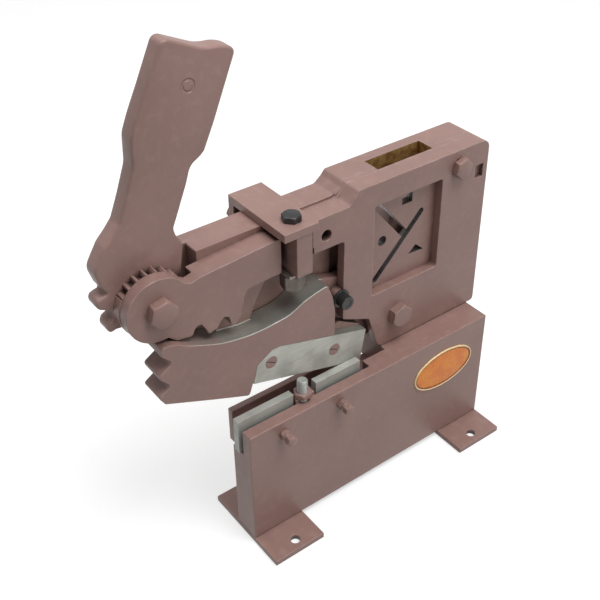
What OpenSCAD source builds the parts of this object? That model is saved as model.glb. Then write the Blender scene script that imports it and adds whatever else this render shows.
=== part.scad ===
// Geared bench shear. A long lever turns a 25-tooth gear, the gear turns a hidden idler,
// and the idler drives a toothed sector on the blade carrier.
// X runs right along the base, Y to the back, Z up. The origin is the centre of the four
// foot bolts at bench level. Turning counter-clockwise seen from the front closes the blades.

/* [Base] */
// Length of the base
base_len = 400; // [390:1:430]
// Thickness of the base body, front to back
base_t = 39.5; // [38:0.5:46]
// Height of the front wall above the bench
base_h = 186.3; // [178:0.1:195]
// Distance from the front face to the line midway between the foot bolts
base_set = 22; // [18:0.5:26]
// Thickness of the front wall beside the blade slot
wall_t = 17; // [14:0.5:18]
// Height of the blade slot's floor above the bench
slot_floor = 148; // [140:0.5:152]
// Length of the blade slot
slot_len = 200; // [195:1:205]
// Extra length of the slot behind the shear plane
slot_run = 39; // [30:1:40]
// Height of the lip that backs the lower blade
lip_h = 18; // [12:0.5:20]
// Distance from the left end to the lip, the shelf and the guide wall
shelf_in = 18; // [12:1:30]
// Depth of the rear shelf behind the body
shelf_t = 37.5; // [34:0.5:42]
// Thickness of the rear shelf
shelf_h = 30; // [20:1:40]
// Height of the rear guide wall above the slot floor
guide_h = 23; // [10:0.5:24]
// Thickness of the rear guide wall
guide_t = 9.5; // [6:0.5:10]
// Length of the rear guide wall
guide_len = 197; // [150:1:200]

/* [Feet] */
// Length of a foot plate along the base
foot_len = 76.3; // [66:0.1:90]
// Width of a foot plate, front to back
foot_w = 138.8; // [130:0.1:160]
// Thickness of a foot plate
foot_t = 8; // [6:0.5:9]
// Radius of a foot bolt hole
foot_hole_r = 6.5; // [5:0.5:8]
// Distance of a foot bolt hole from the end of the base
foot_hole_in = 40.7; // [30:0.1:46]
// Distance of a foot bolt hole from the front or back edge
foot_hole_edge = 15; // [12:0.5:22]

/* [Lower blade] */
// Length of the lower blade
low_len = 190.7; // [185:0.1:192]
// Height of the lower blade
low_h = 50.9; // [46:0.1:54]
// Thickness of the lower blade
low_t = 10; // [8:0.5:11]
// Gap between the front wall and the lower blade
low_gap = 4; // [2:0.5:5]
// Length that the lower blade stands out past the end of the base
low_out = 2.7; // [0:0.1:4]
// Left end of the notch, from the blade's left end
notch_in = 83; // [80:0.5:84]
// Length of the notch round the stud boss
notch_len = 35.5; // [33:0.5:40]
// Height of blade left below the notch
notch_floor = 10; // [8:0.5:10.5]

/* [Stop stud] */
// Distance of the stud from the left end of the base
stud_in = 94; // [92:0.5:98]
// Radius of the stud
stud_r = 7; // [5:0.5:7]
// Height of the stud's top above the wall
stud_up = 36.7; // [20:0.1:60]
// Length of stud in the boss
stud_down = 22; // [16:0.5:25]
// Distance from the shear plane to the stud's axis
stud_back = 10.7; // [10.6:0.1:11]
// Width of the boss for the stud
boss_w = 29; // [24:0.5:31]
// Height of the boss for the stud
boss_h = 27; // [24:0.5:28]
// Width across flats of the stud's nut
stud_af = 21; // [18:0.5:21]
// Height of the stud's nut
stud_nut_h = 9.5; // [7:0.5:12]

/* [Blade screws] */
// Distance of the first set screw from the left end
set_in = 50; // [40:1:60]
// Distance between the two set screws
set_pitch = 90; // [80:1:100]
// Height of the set screws above the slot floor
set_up = 19; // [14:0.5:24]
// Radius of a set screw
set_r = 5; // [4:0.5:6]
// Width across flats of the set screw heads and locknuts
set_af = 16; // [13:0.5:18]
// Height of a set screw head
set_head_h = 6.5; // [5:0.5:8]
// Height of a locknut
set_nut_h = 6; // [4:0.5:7]
// Gap between a set screw head and its locknut
set_gap = 2.5; // [0.5:0.5:5]

/* [Frame] */
// Thickness of the front plate
plate_t = 12.5; // [11:0.5:13]
// Distance between the front faces of the front and rear frames
frame_gap = 27.5; // [27:0.5:30]
// Thickness of the rear frame and its arm
rear_t = 40; // [36:0.5:46]
// Right side of the frame, from the middle of the base
frame_right = 211.7; // [208:0.1:220]
// Left end of the front plate, from the middle of the base
frame_left = 74; // [70:0.5:78]
// Height of the frame's top above the bench
frame_top = 442.2; // [440:0.1:450]
// Height of the lower step of the frame's top
step_top = 425; // [424:0.5:430]
// Height of the arm's underside above the bench
arm_under = 374; // [372:0.5:378]
// Radius of the frame's outer corners
frame_round = 12; // [4:0.5:14]
// Width of the section window
win_w = 112.5; // [108:0.5:114]
// Height of the section window
win_h = 133.5; // [130:0.5:135]
// Height of the window's lower edge above the bench
win_floor = 277; // [276:0.5:279]
// Left edge of the window, from the middle of the base
win_left = 20; // [19:0.5:22]
// Width of the clear way behind the window
way_w = 98; // [96:0.5:99]
// Height of the clear way behind the window
way_h = 124; // [122:0.5:125]
// Length of the top slot
top_slot_len = 90; // [80:1:92]
// Width of the top slot
top_slot_w = 27.5; // [20:0.5:30]
// Left end of the top slot, from the middle of the base
top_slot_left = 45; // [44:1:50]

/* [Pivots] */
// Carrier pivot, from the middle of the base
pivot_x = 66; // [65:0.5:67]
// Height of the carrier pivot above the bench
pivot_z = 229.5; // [229:0.5:231]
// Downward slope of the line from the lever pivot to the carrier pivot
gear_slope = 25.3; // [25.2:0.05:25.4]
// Radius of the lever pivot bolt
lever_bolt_r = 12; // [10:0.5:12]
// Width across flats of the lever pivot bolt's head
lever_af = 36; // [32:0.5:40]
// Height of the lever pivot bolt's head
lever_head_h = 15; // [12:0.5:17]
// Radius of the carrier pivot bolt
carrier_bolt_r = 10; // [8:0.5:11]
// Width across flats of the carrier pivot bolt's head
carrier_af = 30; // [27:0.5:34]
// Height of the carrier pivot bolt's head
carrier_head_h = 12.5; // [10:0.5:14]
// Upper frame bolt, from the middle of the base
upper_x = 157.5; // [157:0.5:160]
// Height of the upper frame bolt above the bench
upper_z = 422.7; // [422:0.1:424]
// Radius of the upper frame bolt
upper_r = 8; // [6:0.5:8]
// Width across flats of the upper frame bolt's head
upper_af = 25; // [22:0.5:28]
// Height of the upper frame bolt's head
upper_head_h = 10; // [8:0.5:12]
// Wall of the bronze bushes
bush_wall = 4; // [3:0.5:5]

/* [Gears] */
// Gear module: pitch diameter over number of teeth
gear_m = 3.5; // [3.49:0.005:3.505]
// Thickness of the gears
gear_t = 12; // [10:0.5:12]
// Play between the flanks of meshing teeth
gear_play = 0.35; // [0.2:0.05:0.6]
// Radius of the idler's pin
idler_pin_r = 7; // [5:0.5:8]

/* [Lever] */
// Distance from the lever pivot to the lever's top
lever_len = 280; // [260:1:320]
// Thickness of the lever
lever_t = 22.4; // [18:0.2:22.6]
// Radius of the lever's hub
hub_r = 46; // [44:0.5:46.5]
// Height of the coarse teeth on the hub
hub_tooth = 14; // [10:0.5:15]
// Radius of the round head over the lever pivot
head_r = 39.5; // [38:0.5:42]
// Length of the gear cover from the lever pivot to its right end
arm_len = 158; // [154:0.5:160]
// Thickness of the gear cover's front plate
cover_t = 15; // [13:0.5:15]

/* [Carrier] */
// Distance from the carrier pivot to the toothed end
carrier_len = 350; // [345:0.5:352]
// Thickness of the carrier's pivot boss
tongue_t = 17.4; // [15:0.1:17.4]
// Radius of the carrier's pivot boss
carrier_boss_r = 34; // [30:0.5:34.5]
// Length of the upper blade's cutting edge
up_len = 172.7; // [170:0.1:173]
// Height of the upper blade
up_h = 48; // [44:0.5:50]
// Thickness of the upper blade
up_t = 12; // [8:0.5:12.5]
// Slope of the upper blade's edge at rest
up_slope = 16; // [15.5:0.1:16.5]
// Width of the sector's web
web_w = 55; // [50:0.5:56]

/* [Section knives] */
// Thickness of each section knife
knife_t = 6; // [5:0.5:6.5]
// Width of the angle slot
y_slot_w = 9; // [7:0.5:10]
// Side of the square hole
square_w = 17; // [12:0.5:18]
// Radius of the round hole
round_r = 7; // [5:0.5:8]

/* [Stirrup] */
// Thickness of the stirrup's top plate
stirrup_t = 11; // [8:0.5:12]
// Length of the top plate, front to back
stirrup_len = 114; // [112:0.5:118]
// Width of the top plate
stirrup_w = 48; // [44:0.5:50]
// Width of the stirrup's front leg
leg_w = 22; // [20:0.5:24]
// Depth of the stirrup's front leg
leg_d = 34; // [30:0.5:34]
// Height of the stirrup's front leg
leg_h = 56; // [50:0.5:58]
// Radius of the stirrup bolt
stirrup_r = 6; // [5:0.5:7]
// Width across flats of the stirrup bolt's head and nut
stirrup_af = 22; // [19:0.5:24]

/* [Badge] */
// Width of the oval plate
badge_w = 112; // [90:1:120]
// Height of the oval plate
badge_h = 82; // [60:1:90]
// Thickness of the oval plate
badge_t = 2; // [1:0.5:4]

/* [Hidden] */
$fn = 64;

// How far a cutting shape runs past the surface that it cuts
over = 2;
// Gap between faces that slide past each other
slide_gap = 0.3;
// Radial clearance of a running fit
run_fit = 0.05;
// Radial clearance of a bolt in its hole
bolt_fit = 0.2;

// Layers from front to back
front_y = -base_set;
slot_y = front_y + wall_t;
shear_y = slot_y + low_gap + low_t;
frame_y = front_y + base_t;
plate_y = frame_y + plate_t;
rear_y = frame_y + frame_gap;
back_y = rear_y + rear_t;
cover_y = frame_y + cover_t;
gear_y = cover_y + slide_gap;
lever_y = rear_y + slide_gap;
cheek_y = lever_y + lever_t + slide_gap;
blade_y = shear_y + slide_gap;
blade_back = blade_y + up_t;
tongue_y = plate_y + knife_t + slide_gap;
tongue_back = tongue_y + tongue_t;
pocket_y = tongue_back + slide_gap;

// Ends and heights
left_x = -base_len / 2;
slot_x = left_x + slot_len;
void_x = slot_x + slot_run;
blade_left = left_x - low_out;
set_z = slot_floor + set_up;
set_x = [left_x + set_in, left_x + set_in + set_pitch];
stud_x = left_x + stud_in;
stud_y = shear_y - stud_back;

// Gear train: the three centres lie on one line
drive_teeth = 25;
idler_teeth = 14;
sector_teeth = 164;
press_angle = 25;
drive_c = gear_m * (drive_teeth + idler_teeth) / 2;
sector_c = gear_m * (sector_teeth + idler_teeth) / 2;
line = [cos(gear_slope), -sin(gear_slope)];
carrier_p = [pivot_x, pivot_z];
idler_p = carrier_p - sector_c * line;
lever_p = idler_p - drive_c * line;
drive_tip = gear_m * (drive_teeth / 2 + 1);
idler_tip = gear_m * (idler_teeth / 2 + 1);
sector_tip = gear_m * (sector_teeth / 2 + 1);
carrier_turn = 11;

// Upper blade's left tip and the two screws along it, as shares
tip_p = carrier_p + carrier_len * [-0.674, 0.02];
up_screw_share = [[0.115, 0.56], [0.7, 0.54]];

// Rounded outlines. A point is [x, z, corner radius].
function unit(v) = v / norm(v);
function arc_steps(r) = r > 0 ? 6 : 0;
function corner(a, b, c, r) =
    let (u = unit(a - b), w = unit(c - b), half = acos(max(-1, min(1, u * w))) / 2)
    r <= 0 || half > 88 ? [b] :
    let (reach = min(r / tan(half), norm(a - b) * 0.48, norm(c - b) * 0.48),
        rr = reach * tan(half), mid = b + unit(u + w) * rr / sin(half),
        s = b + u * reach - mid, e = b + w * reach - mid,
        a0 = atan2(s.y, s.x), a1 = atan2(e.y, e.x),
        turn = a1 - a0 > 180 ? a1 - a0 - 360 : a1 - a0 < -180 ? a1 - a0 + 360 : a1 - a0,
        n = max(2, ceil(abs(turn) / 15)))
    [for (i = [0:n]) mid + rr * [cos(a0 + turn * i / n), sin(a0 + turn * i / n)]];
function flat2(p) = [p.x, p.y];
function rounded(p) = let (n = len(p)) [for (i = [0:n - 1])
    each corner(flat2(p[(i + n - 1) % n]), flat2(p[i]), flat2(p[(i + 1) % n]), p[i].z)];
function placed(share, size, at) = [for (p = share) [at.x + p.x * size, at.y + p.y * size, p.z * size]];
function arc(at, r, a0, a1, n) = [for (i = [0:n]) at + r * [cos(a0 + (a1 - a0) * i / n), sin(a0 + (a1 - a0) * i / n)]];

// Involute teeth: half the angle of a tooth at radius r, then one tooth's outline
function inv(base, r) = r <= base ? 0 : sqrt(pow(r / base, 2) - 1) * 180 / PI - acos(base / r);
function half_tooth(n, r) =
    let (pitch = gear_m * n / 2, base = pitch * cos(press_angle))
    90 / n - gear_play / pitch * 90 / PI / 2 + inv(base, pitch) - inv(base, r);
function tooth(n, at, a) =
    let (pitch = gear_m * n / 2, root = pitch - gear_m * 1.25, tip = pitch + gear_m,
        start = max(root, pitch * cos(press_angle)), k = 4,
        r = [for (i = [0:k]) start + (tip - start) * i / k],
        h = [for (q = r) half_tooth(n, q)])
    concat([at + root * [cos(a + h[0]), sin(a + h[0])]],
        [for (i = [0:k]) at + r[i] * [cos(a + h[i]), sin(a + h[i])]],
        [for (i = [0:k]) at + r[k - i] * [cos(a - h[k - i]), sin(a - h[k - i])]],
        [at + root * [cos(a - h[0]), sin(a - h[0])]]);
function gear_points(n, at, a) = [for (i = [0:n - 1]) each tooth(n, at, a - i * 360 / n)];

// Plates and pins along Y, screws along Y and Z
module slab(y, t) {
    translate([0, y + t, 0])
        rotate([90, 0, 0])
            linear_extrude(t) children();
}
module rod(p, y, t, r) {
    translate([p.x, y + t, p.y])
        rotate([90, 0, 0]) cylinder(h = t, r = r);
}
module hex_prism(h, af) {
    r = af / 2 / cos(30);
    intersection() {
        cylinder(h = h, r = r, $fn = 6);
        union() {
            cylinder(h = h * 0.85, r = r + over);
            translate([0, 0, h * 0.85]) cylinder(h = h * 0.15, r1 = r, r2 = af / 2 * 0.96);
        }
    }
}
// Hexagon on the front face y, standing out towards the viewer
module hex_front(p, y, h, af, turn = 0) {
    translate([p.x, y, p.y]) rotate([90, 0, 0]) rotate(turn) hex_prism(h, af);
}
module hex_back(p, y, h, af, turn = 0) {
    translate([p.x, y, p.y]) rotate([-90, 0, 0]) rotate(turn) hex_prism(h, af);
}
module hex_ring(h, af, hole) {
    difference() {
        hex_prism(h, af);
        translate([0, 0, -over]) cylinder(h = h + 2 * over, r = hole);
    }
}

// Base
module base_casting() color([0.55, 0.44, 0.41]) {
    cut_h = base_h - slot_floor + over;
    difference() {
        union() {
            translate([left_x, front_y, foot_t]) cube([base_len, base_t, base_h - foot_t]);
            translate([left_x + shelf_in, frame_y - over, slot_floor - shelf_h])
                cube([frame_right - left_x - shelf_in, shelf_t + over, shelf_h]);
            translate([left_x + shelf_in, frame_y + shelf_t - guide_t, slot_floor - over])
                cube([guide_len, guide_t, guide_h + over]);
        }
        translate([left_x - over, slot_y, slot_floor])
            cube([slot_len + over, shear_y - slot_y + over, cut_h]);
        difference() {
            translate([left_x - over, shear_y, slot_floor])
                cube([slot_len + slot_run + over, frame_y - shear_y + over, cut_h]);
            translate([left_x + shelf_in, shear_y - over, slot_floor - over])
                cube([slot_len + slot_run, base_t, lip_h + over]);
        }
        for (x = set_x) rod([x, set_z], front_y - over, wall_t + 2 * over, set_r + bolt_fit);
        translate([stud_x, stud_y, base_h - stud_down - over])
            cylinder(h = stud_down + 2 * over, r = stud_r + run_fit);
        frame_screws() rod([0, 0], frame_y - fix_bite, fix_bite + over, fix_r + bolt_fit);
    }
    difference() {
        translate([stud_x - boss_w * 0.42, slot_y - over, base_h - boss_h])
            cube([boss_w, shear_y - slide_gap - slot_y + over, boss_h]);
        translate([stud_x, stud_y, base_h - stud_down - over])
            cylinder(h = stud_down + 2 * over, r = stud_r + run_fit);
    }
}
module foot(x) color([0.55, 0.44, 0.41]) {
    difference() {
        translate([x, -foot_w / 2, 0]) cube([foot_len, foot_w, foot_t]);
        for (y = [-1, 1])
            translate([sign(x + foot_len / 2) * (base_len / 2 - foot_hole_in), y * (foot_w / 2 - foot_hole_edge), -over])
                cylinder(h = foot_t + 2 * over, r = foot_hole_r);
    }
}
module left_foot() foot(left_x);
module right_foot() foot(-left_x - foot_len);
module badge_plate() color([0.91, 0.45, 0.13]) {
    rim = badge_t * 2;
    difference() {
        slab(front_y - badge_t, badge_t) oval(badge_w, badge_h);
        slab(front_y - badge_t - over, badge_t * 0.4 + over) oval(badge_w - 2 * rim, badge_h - 2 * rim);
    }
}
module oval(w, h) {
    at = [base_len * 0.305, base_h * 0.715];
    polygon([for (i = [0:71]) at + [w / 2 * cos(i * 5), h / 2 * sin(i * 5)]]);
}

// Lower blade and its screws
module lower_blade() color([0.74, 0.75, 0.76]) {
    right = blade_left + low_len;
    top = slot_floor + low_h;
    n0 = blade_left + notch_in;
    slab(shear_y - low_t, low_t)
        polygon([[blade_left, slot_floor], [right, slot_floor], [right, top], [n0 + notch_len, top],
            [n0 + notch_len, slot_floor + notch_floor], [n0, slot_floor + notch_floor],
            [n0, top], [blade_left, top]]);
}
set_seat = front_y - set_nut_h - set_gap;
module blade_set_screws() color([0.52, 0.42, 0.39]) {
    for (x = set_x) {
        hex_front([x, set_z], set_seat, set_head_h, set_af, 10);
        rod([x, set_z], set_seat - over, slot_y + low_gap - set_seat + over, set_r);
    }
}
module blade_locknuts() color([0.52, 0.42, 0.39]) {
    for (x = set_x)
        difference() {
            hex_front([x, set_z], front_y, set_nut_h, set_af, 40);
            rod([x, set_z], front_y - set_nut_h - over, set_nut_h + 2 * over, set_r + run_fit);
        }
}
module stop_stud() color([0.62, 0.62, 0.6])
    translate([stud_x, stud_y, base_h - stud_down]) cylinder(h = stud_down + stud_up, r = stud_r);
module stop_stud_nut() color([0.5, 0.5, 0.48])
    translate([stud_x, stud_y, base_h]) hex_ring(stud_nut_h, stud_af, stud_r + run_fit);

// Frame: hidden screws into the base
fix_r = 6;
fix_bite = 17;
fix_head_r = 9;
fix_head_h = 12;
fix_share = [0.3, 0.52, 0.86];
module frame_screws()
    for (s = fix_share)
        translate([s * frame_right, 0, slot_floor + base_t * 0.4]) children();
module frame_fixing_screws() color([0.13, 0.13, 0.14])
    frame_screws() {
        rod([0, 0], frame_y - fix_bite + over, back_y - fix_head_h - frame_y + fix_bite - over, fix_r);
        difference() {
            rod([0, 0], back_y - fix_head_h, fix_head_h, fix_head_r);
            rod([0, 0], back_y - fix_head_h / 2, fix_head_h, fix_r * 0.8, $fn = 6);
        }
    }

// Outline of the frame right of the throat, shared by the front plate and the rear body
frame_foot_x = slot_x + slot_run + slide_gap + 2 * run_fit;
frame_w = frame_right + frame_left;
rear_rise = 2;
round_hole_r = 7.5;
arm_end = lever_p.x + hub_r + idler_pin_r * 2.6;
function fx(s) = frame_right - s * frame_w;
function fz(s) = frame_top - s * frame_w;
round_p = [fx(0.929), fz(0.1515)];
guide_p = [fx(0.851), fz(0.505)];
throat = [[frame_foot_x, slot_floor, 0], [frame_foot_x, base_h, 0], [fx(0.6265), fz(0.875), 4],
    [fx(0.682), fz(0.701), 4]];
shoulder = [[fx(0.777), fz(0.023), 4], [fx(0.758), frame_top, 5],
    [frame_right, frame_top, frame_round], [frame_right, base_h, frame_round],
    [base_len / 2, base_h, 0], [base_len / 2, slot_floor, 0]];
front_outline = rounded(concat([[-frame_left, step_top, 1], [fx(0.808), step_top, 8]], shoulder,
    throat, [[fx(0.834), fz(0.631), 3], [fx(0.835), fz(0.4), 0], [fx(0.832), arm_under + 3 * rear_rise, 5],
        [-frame_left, arm_under + 3 * rear_rise, 1]]));
rear_outline = rounded(concat([[arm_end, step_top + rear_rise, 2], [fx(0.815), step_top + rear_rise, 8]],
    shoulder, throat, [[fx(0.834), fz(0.631), 6], [fx(0.86), fz(0.46), 30], [fx(0.96), fz(0.315), 20],
        [fx(1.06), arm_under, 12], [arm_end, arm_under, 2]]));

// Space between the frames in which the carrier and its knife swing
knife_lap = 16;
inner = [[win_left - 3 * knife_lap, slot_floor + foot_t * 2.5],
    [win_left - 3 * knife_lap, fz(0.134)], [win_left - 2.3 * knife_lap, win_floor + win_h + knife_lap * 0.875],
    [win_left + win_w + knife_lap + bolt_fit, win_floor + win_h + knife_lap * 0.875],
    [win_left + win_w + knife_lap + bolt_fit, win_floor - 1.8 * knife_lap],
    [pivot_x + carrier_boss_r * 1.17, win_floor - 2.5 * knife_lap],
    [pivot_x + carrier_boss_r * 1.17, pivot_z - carrier_boss_r * 1.1],
    [frame_foot_x, pivot_z - carrier_boss_r * 1.1], [fx(0.6265), slot_floor + foot_t * 2.5]];
way = [win_left + (win_w - way_w) / 2, win_floor + (win_h - way_h) * 0.42];

module front_frame() color([0.55, 0.44, 0.41]) {
    slot_s = 19;
    difference() {
        union() {
            slab(frame_y, plate_t) difference() {
                union() {
                    polygon(front_outline);
                    translate(guide_p) circle(r = guide_r * 1.8);
                }
                translate([win_left, win_floor]) polygon(rounded([[0, 0, 4], [win_w, 0, 4],
                    [win_w, win_h, 4], [0, win_h, 4]]));
            }
            slab(plate_y, rear_y - plate_y) difference() {
                polygon(front_outline);
                polygon(inner);
            }
        }
        rod(carrier_p, frame_y - over, plate_t + 2 * over, carrier_bolt_r + bolt_fit);
        rod([upper_x, upper_z], frame_y - over, frame_gap + 2 * over, upper_r + bolt_fit);
        rod(round_p, frame_y - over, frame_gap + 2 * over, round_hole_r);
        rod(guide_p, frame_y - over, plate_t + 2 * over, guide_r + bolt_fit);
        translate([upper_x + upper_af * 1.3, frame_y - over, upper_z - 1.7 * slot_s])
            cube([slot_s * 0.74, plate_t / 2 + over, slot_s]);
        translate([-frame_left - over, frame_y - over, arm_under + 3 * rear_rise - over])
            cube([over * 2, plate_t + over, slot_s / 2 + over]);
        frame_screws() rod([0, 0], frame_y - over, frame_gap + 2 * over, fix_r + bolt_fit);
        for (p = knife_screws) countersunk(p, plate_y + knife_t, -1, plate_t, bolt_fit);
        translate([top_slot_left, rear_y - (top_slot_w - guide_r * 4), win_floor + win_h])
            cube([top_slot_len, top_slot_w, frame_top]);
        translate([fx(1), rear_y - groove, step_top - groove]) groove_cut();
    }
}
groove = 4;
module groove_cut() {
    for (p = [[0, 0, 0.192], [0.235, frame_top - step_top, 0.8]])
        translate([p[0] * frame_w, 0, p[1]]) cube([p[2] * frame_w, 2 * groove, 3 * groove]);
}

// The arm's screws and the way the drive gear, the idler and the sector take inside the cover
arm_screw_r = 5;
arm_screw_share = [[0.505, 0.085], [0.92, 0.095]];
arm_screws = [for (p = arm_screw_share) lever_p + arm_len * p];
module rear_frame() color([0.55, 0.44, 0.41]) {
    difference() {
        union() {
            slab(rear_y, rear_t) difference() {
                union() {
                    polygon(rear_outline);
                    translate(idler_p) circle(r = idler_pin_r * 2.2);
                }
                translate(lever_p) circle(r = hub_r + 2 * slide_gap);
            }
            slab(cheek_y, back_y - cheek_y) {
                translate(lever_p) circle(r = head_r);
                polygon([lever_p + [0, head_r], [arm_end + over, step_top + rear_rise], [arm_end + over, arm_under],
                    idler_p - [0, idler_pin_r * 2.2], lever_p - [0, head_r]]);
            }
        }
        slab(rear_y - over, pocket_y - rear_y + over) intersection() {
            polygon(inner);
            translate([win_left - 3 * knife_lap, 0]) square([frame_w, frame_top]);
        }
        slab(pocket_y - over, back_y) translate(way) square([way_w, way_h]);
        translate([top_slot_left, rear_y - over, way.y + way_h - over])
            cube([top_slot_len, guide_r * 4 + over, frame_top]);
        rod(carrier_p, rear_y - over, rear_t + 2 * over, carrier_bolt_r + bolt_fit);
        rod(lever_p, cheek_y - over, rear_t, lever_bolt_r + bolt_fit);
        rod([upper_x, upper_z], rear_y - over, rear_t + 2 * over, upper_r + bolt_fit);
        rod(round_p, rear_y - over, rear_t + 2 * over, round_hole_r);
        rod(idler_p, rear_y - over, pin_hold + over, idler_pin_r + run_fit);
        frame_screws() {
            rod([0, 0], rear_y - over, rear_t + 2 * over, fix_r + bolt_fit);
            rod([0, 0], back_y - fix_head_h, fix_head_h + over, fix_head_r + bolt_fit);
        }
        for (p = arm_screws) {
            rod(p, rear_y - over, rear_t + 2 * over, arm_screw_r + bolt_fit);
            rod(p, back_y - 2 * arm_screw_r, 2 * arm_screw_r + over, 1.7 * arm_screw_r);
        }
        translate([fx(1), rear_y - groove, step_top - groove]) groove_cut();
    }
}
pin_hold = 30;
cover_hold = 8;

// Gear cover
cover_share = [[0.204, 0.145, 0.02], [0.248, 0.117, 0.03], [0.323, 0.137, 0.03], [0.967, 0.181, 0.02],
    [1.002, 0.171, 0.012], [1, -0.114, 0.01], [0.901, -0.117, 0], [0.701, -0.13, 0.04],
    [0.67, -0.18, 0.02], [0.632, -0.339, 0.02], [0.572, -0.393, 0.01], [0.552, -0.38, 0.01],
    [0.535, -0.305, 0.02], [0.493, -0.275, 0.03], [0.45, -0.32, 0.02], [0.43, -0.353, 0.02],
    [0.361, -0.37, 0.012], [0.335, -0.31, 0.02], [0.301, -0.252, 0.03], [0.255, -0.265, 0.03],
    [0.226, -0.322, 0.02], [0.105, -0.305, 0.02], [0.03, -0.24, 0], [0, 0, 0]];
module cover_outline() {
    polygon(rounded(placed(cover_share, arm_len, lever_p)));
    translate(lever_p) circle(r = head_r);
}
module front_arm() color([0.55, 0.44, 0.41]) {
    a0 = 180 - gear_slope;
    sweep_r = [sector_tip + over, sector_tip - web_w - 4 * over];
    difference() {
        union() {
            slab(frame_y, cover_t) cover_outline();
            slab(cover_y, rear_y - cover_y) difference() {
                intersection() {
                    polygon(rounded(placed(cover_share, arm_len, lever_p)));
                    translate([lever_p.x + drive_tip + over, arm_under]) square(arm_len);
                }
                translate(idler_p) circle(r = idler_tip + over);
                polygon(concat(arc(carrier_p, sweep_r[0], a0 - sector_end - over, a0 + 2 * carrier_turn, 24),
                    arc(carrier_p, sweep_r[1], a0 + 2 * carrier_turn, a0 - sector_end - over, 24)));
            }
        }
        rod(lever_p, frame_y - over, cover_t + 2 * over, lever_bolt_r + bolt_fit);
        rod(idler_p, cover_y - cover_hold, cover_hold + over, idler_pin_r + run_fit);
        for (p = arm_screws) rod(p, cover_y - cover_hold, frame_gap, arm_screw_r + bolt_fit);
    }
}
module arm_fixing_screws() color([0.13, 0.13, 0.14])
    for (p = arm_screws) {
        rod(p, cover_y - cover_hold + over, back_y - 2 * arm_screw_r - cover_y + cover_hold - over, arm_screw_r);
        difference() {
            rod(p, back_y - 2 * arm_screw_r, 2 * arm_screw_r, 1.6 * arm_screw_r);
            rod(p, back_y - arm_screw_r, 2 * arm_screw_r, arm_screw_r * 0.8, $fn = 6);
        }
    }

// Section knives: the angle slot, the square, round and three-cornered holes
y_share = [[0.794, 0.666], [0.136, 0.095], [0.535, 0.509], [0.14, 0.912]];
square_share = [0.573, 0.884];
round_share = [0.22, 0.512];
corner_share = [[0.636, 0.22, 0], [0.746, 0.3, 0], [0.873, 0.204, 0]];
screw_share = [[-0.07, -0.055], [1.07, -0.055], [1.07, 0.93], [-0.07, 1.045]];
function in_window(p) = [win_left + p.x * win_w, win_floor + p.y * win_h];
knife_screws = [for (p = screw_share) in_window(p)];
knife_screw_r = 3;
module bar_slot(a, b, w) {
    turn = atan2(b.y - a.y, b.x - a.x);
    steps = 2 * arc_steps(w);
    polygon(concat(arc(b, w / 2, turn - 90, turn + 90, steps), arc(a, w / 2, turn + 90, turn + 270, steps)));
}
module section_holes() {
    q = [for (p = y_share) in_window(p)];
    bar_slot(q[0], q[1], y_slot_w);
    bar_slot(q[2], q[3], y_slot_w * 1.25);
    translate(in_window(square_share) - [square_w, square_w] / 2) square(square_w);
    translate(in_window(round_share)) circle(r = round_r);
    polygon([for (p = corner_share) in_window(p)]);
}
// Countersunk hole or screw with its head flush at y. The way it points is 1 to the back, -1 to the front.
module countersunk(p, y, way, length, fit) {
    r = knife_screw_r + fit;
    translate([p.x, y, p.y]) rotate([-90 * way, 0, 0]) {
        translate([0, 0, -fit]) cylinder(h = length, r = r);
        translate([0, 0, -fit]) cylinder(h = r + fit, r1 = 2 * r, r2 = r);
    }
}
module fixed_section_knife() color([0.47, 0.37, 0.35])
    difference() {
        slab(plate_y, knife_t) difference() {
            polygon(rounded([
                [win_left - knife_lap, win_floor - knife_lap, 3], [win_left + win_w + knife_lap, win_floor - knife_lap, 3],
                [win_left + win_w + knife_lap, win_floor + win_h, 3],
                [win_left + win_w, win_floor + win_h + knife_lap * 0.85, 3],
                [win_left - knife_lap, win_floor + win_h + knife_lap * 0.85, 3]]));
            section_holes();
        }
        for (p = knife_screws) countersunk(p, plate_y + knife_t, -1, 2 * knife_t, bolt_fit);
    }
module fixed_knife_screws() color([0.35, 0.35, 0.36])
    for (p = knife_screws) countersunk(p, plate_y + knife_t, -1, plate_t - over, 0);

// The moving knife's outline and its screws
move_lap = 6;
move_left = win_left - move_lap;
move_right = win_left + win_w + move_lap;
move_floor = win_floor - move_lap;
move_top = win_floor + win_h + move_lap / 4;
move_outline = [[move_left, move_floor], [move_right, move_floor], [move_right, move_top - 2 * move_lap],
    [move_right - 2 * move_lap, move_top], [move_left, move_top]];
move_screws = [[move_left + move_lap * 1.2, move_floor + move_lap * 0.85],
    [move_right - move_lap * 1.1, move_floor + move_lap * 0.85],
    [move_right - move_lap * 1.1, move_top - 3.3 * move_lap], [move_left + move_lap * 1.2, move_top - 1.2 * move_lap]];
module moving_section_knife() color([0.33, 0.33, 0.34])
    difference() {
        slab(tongue_y, knife_t) difference() {
            polygon(move_outline);
            section_holes();
        }
        for (p = move_screws) countersunk(p, tongue_y, 1, 2 * knife_t, bolt_fit);
    }
module moving_knife_screws() color([0.35, 0.35, 0.36])
    for (p = move_screws) countersunk(p, tongue_y, 1, tongue_t - over, 0);

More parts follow.
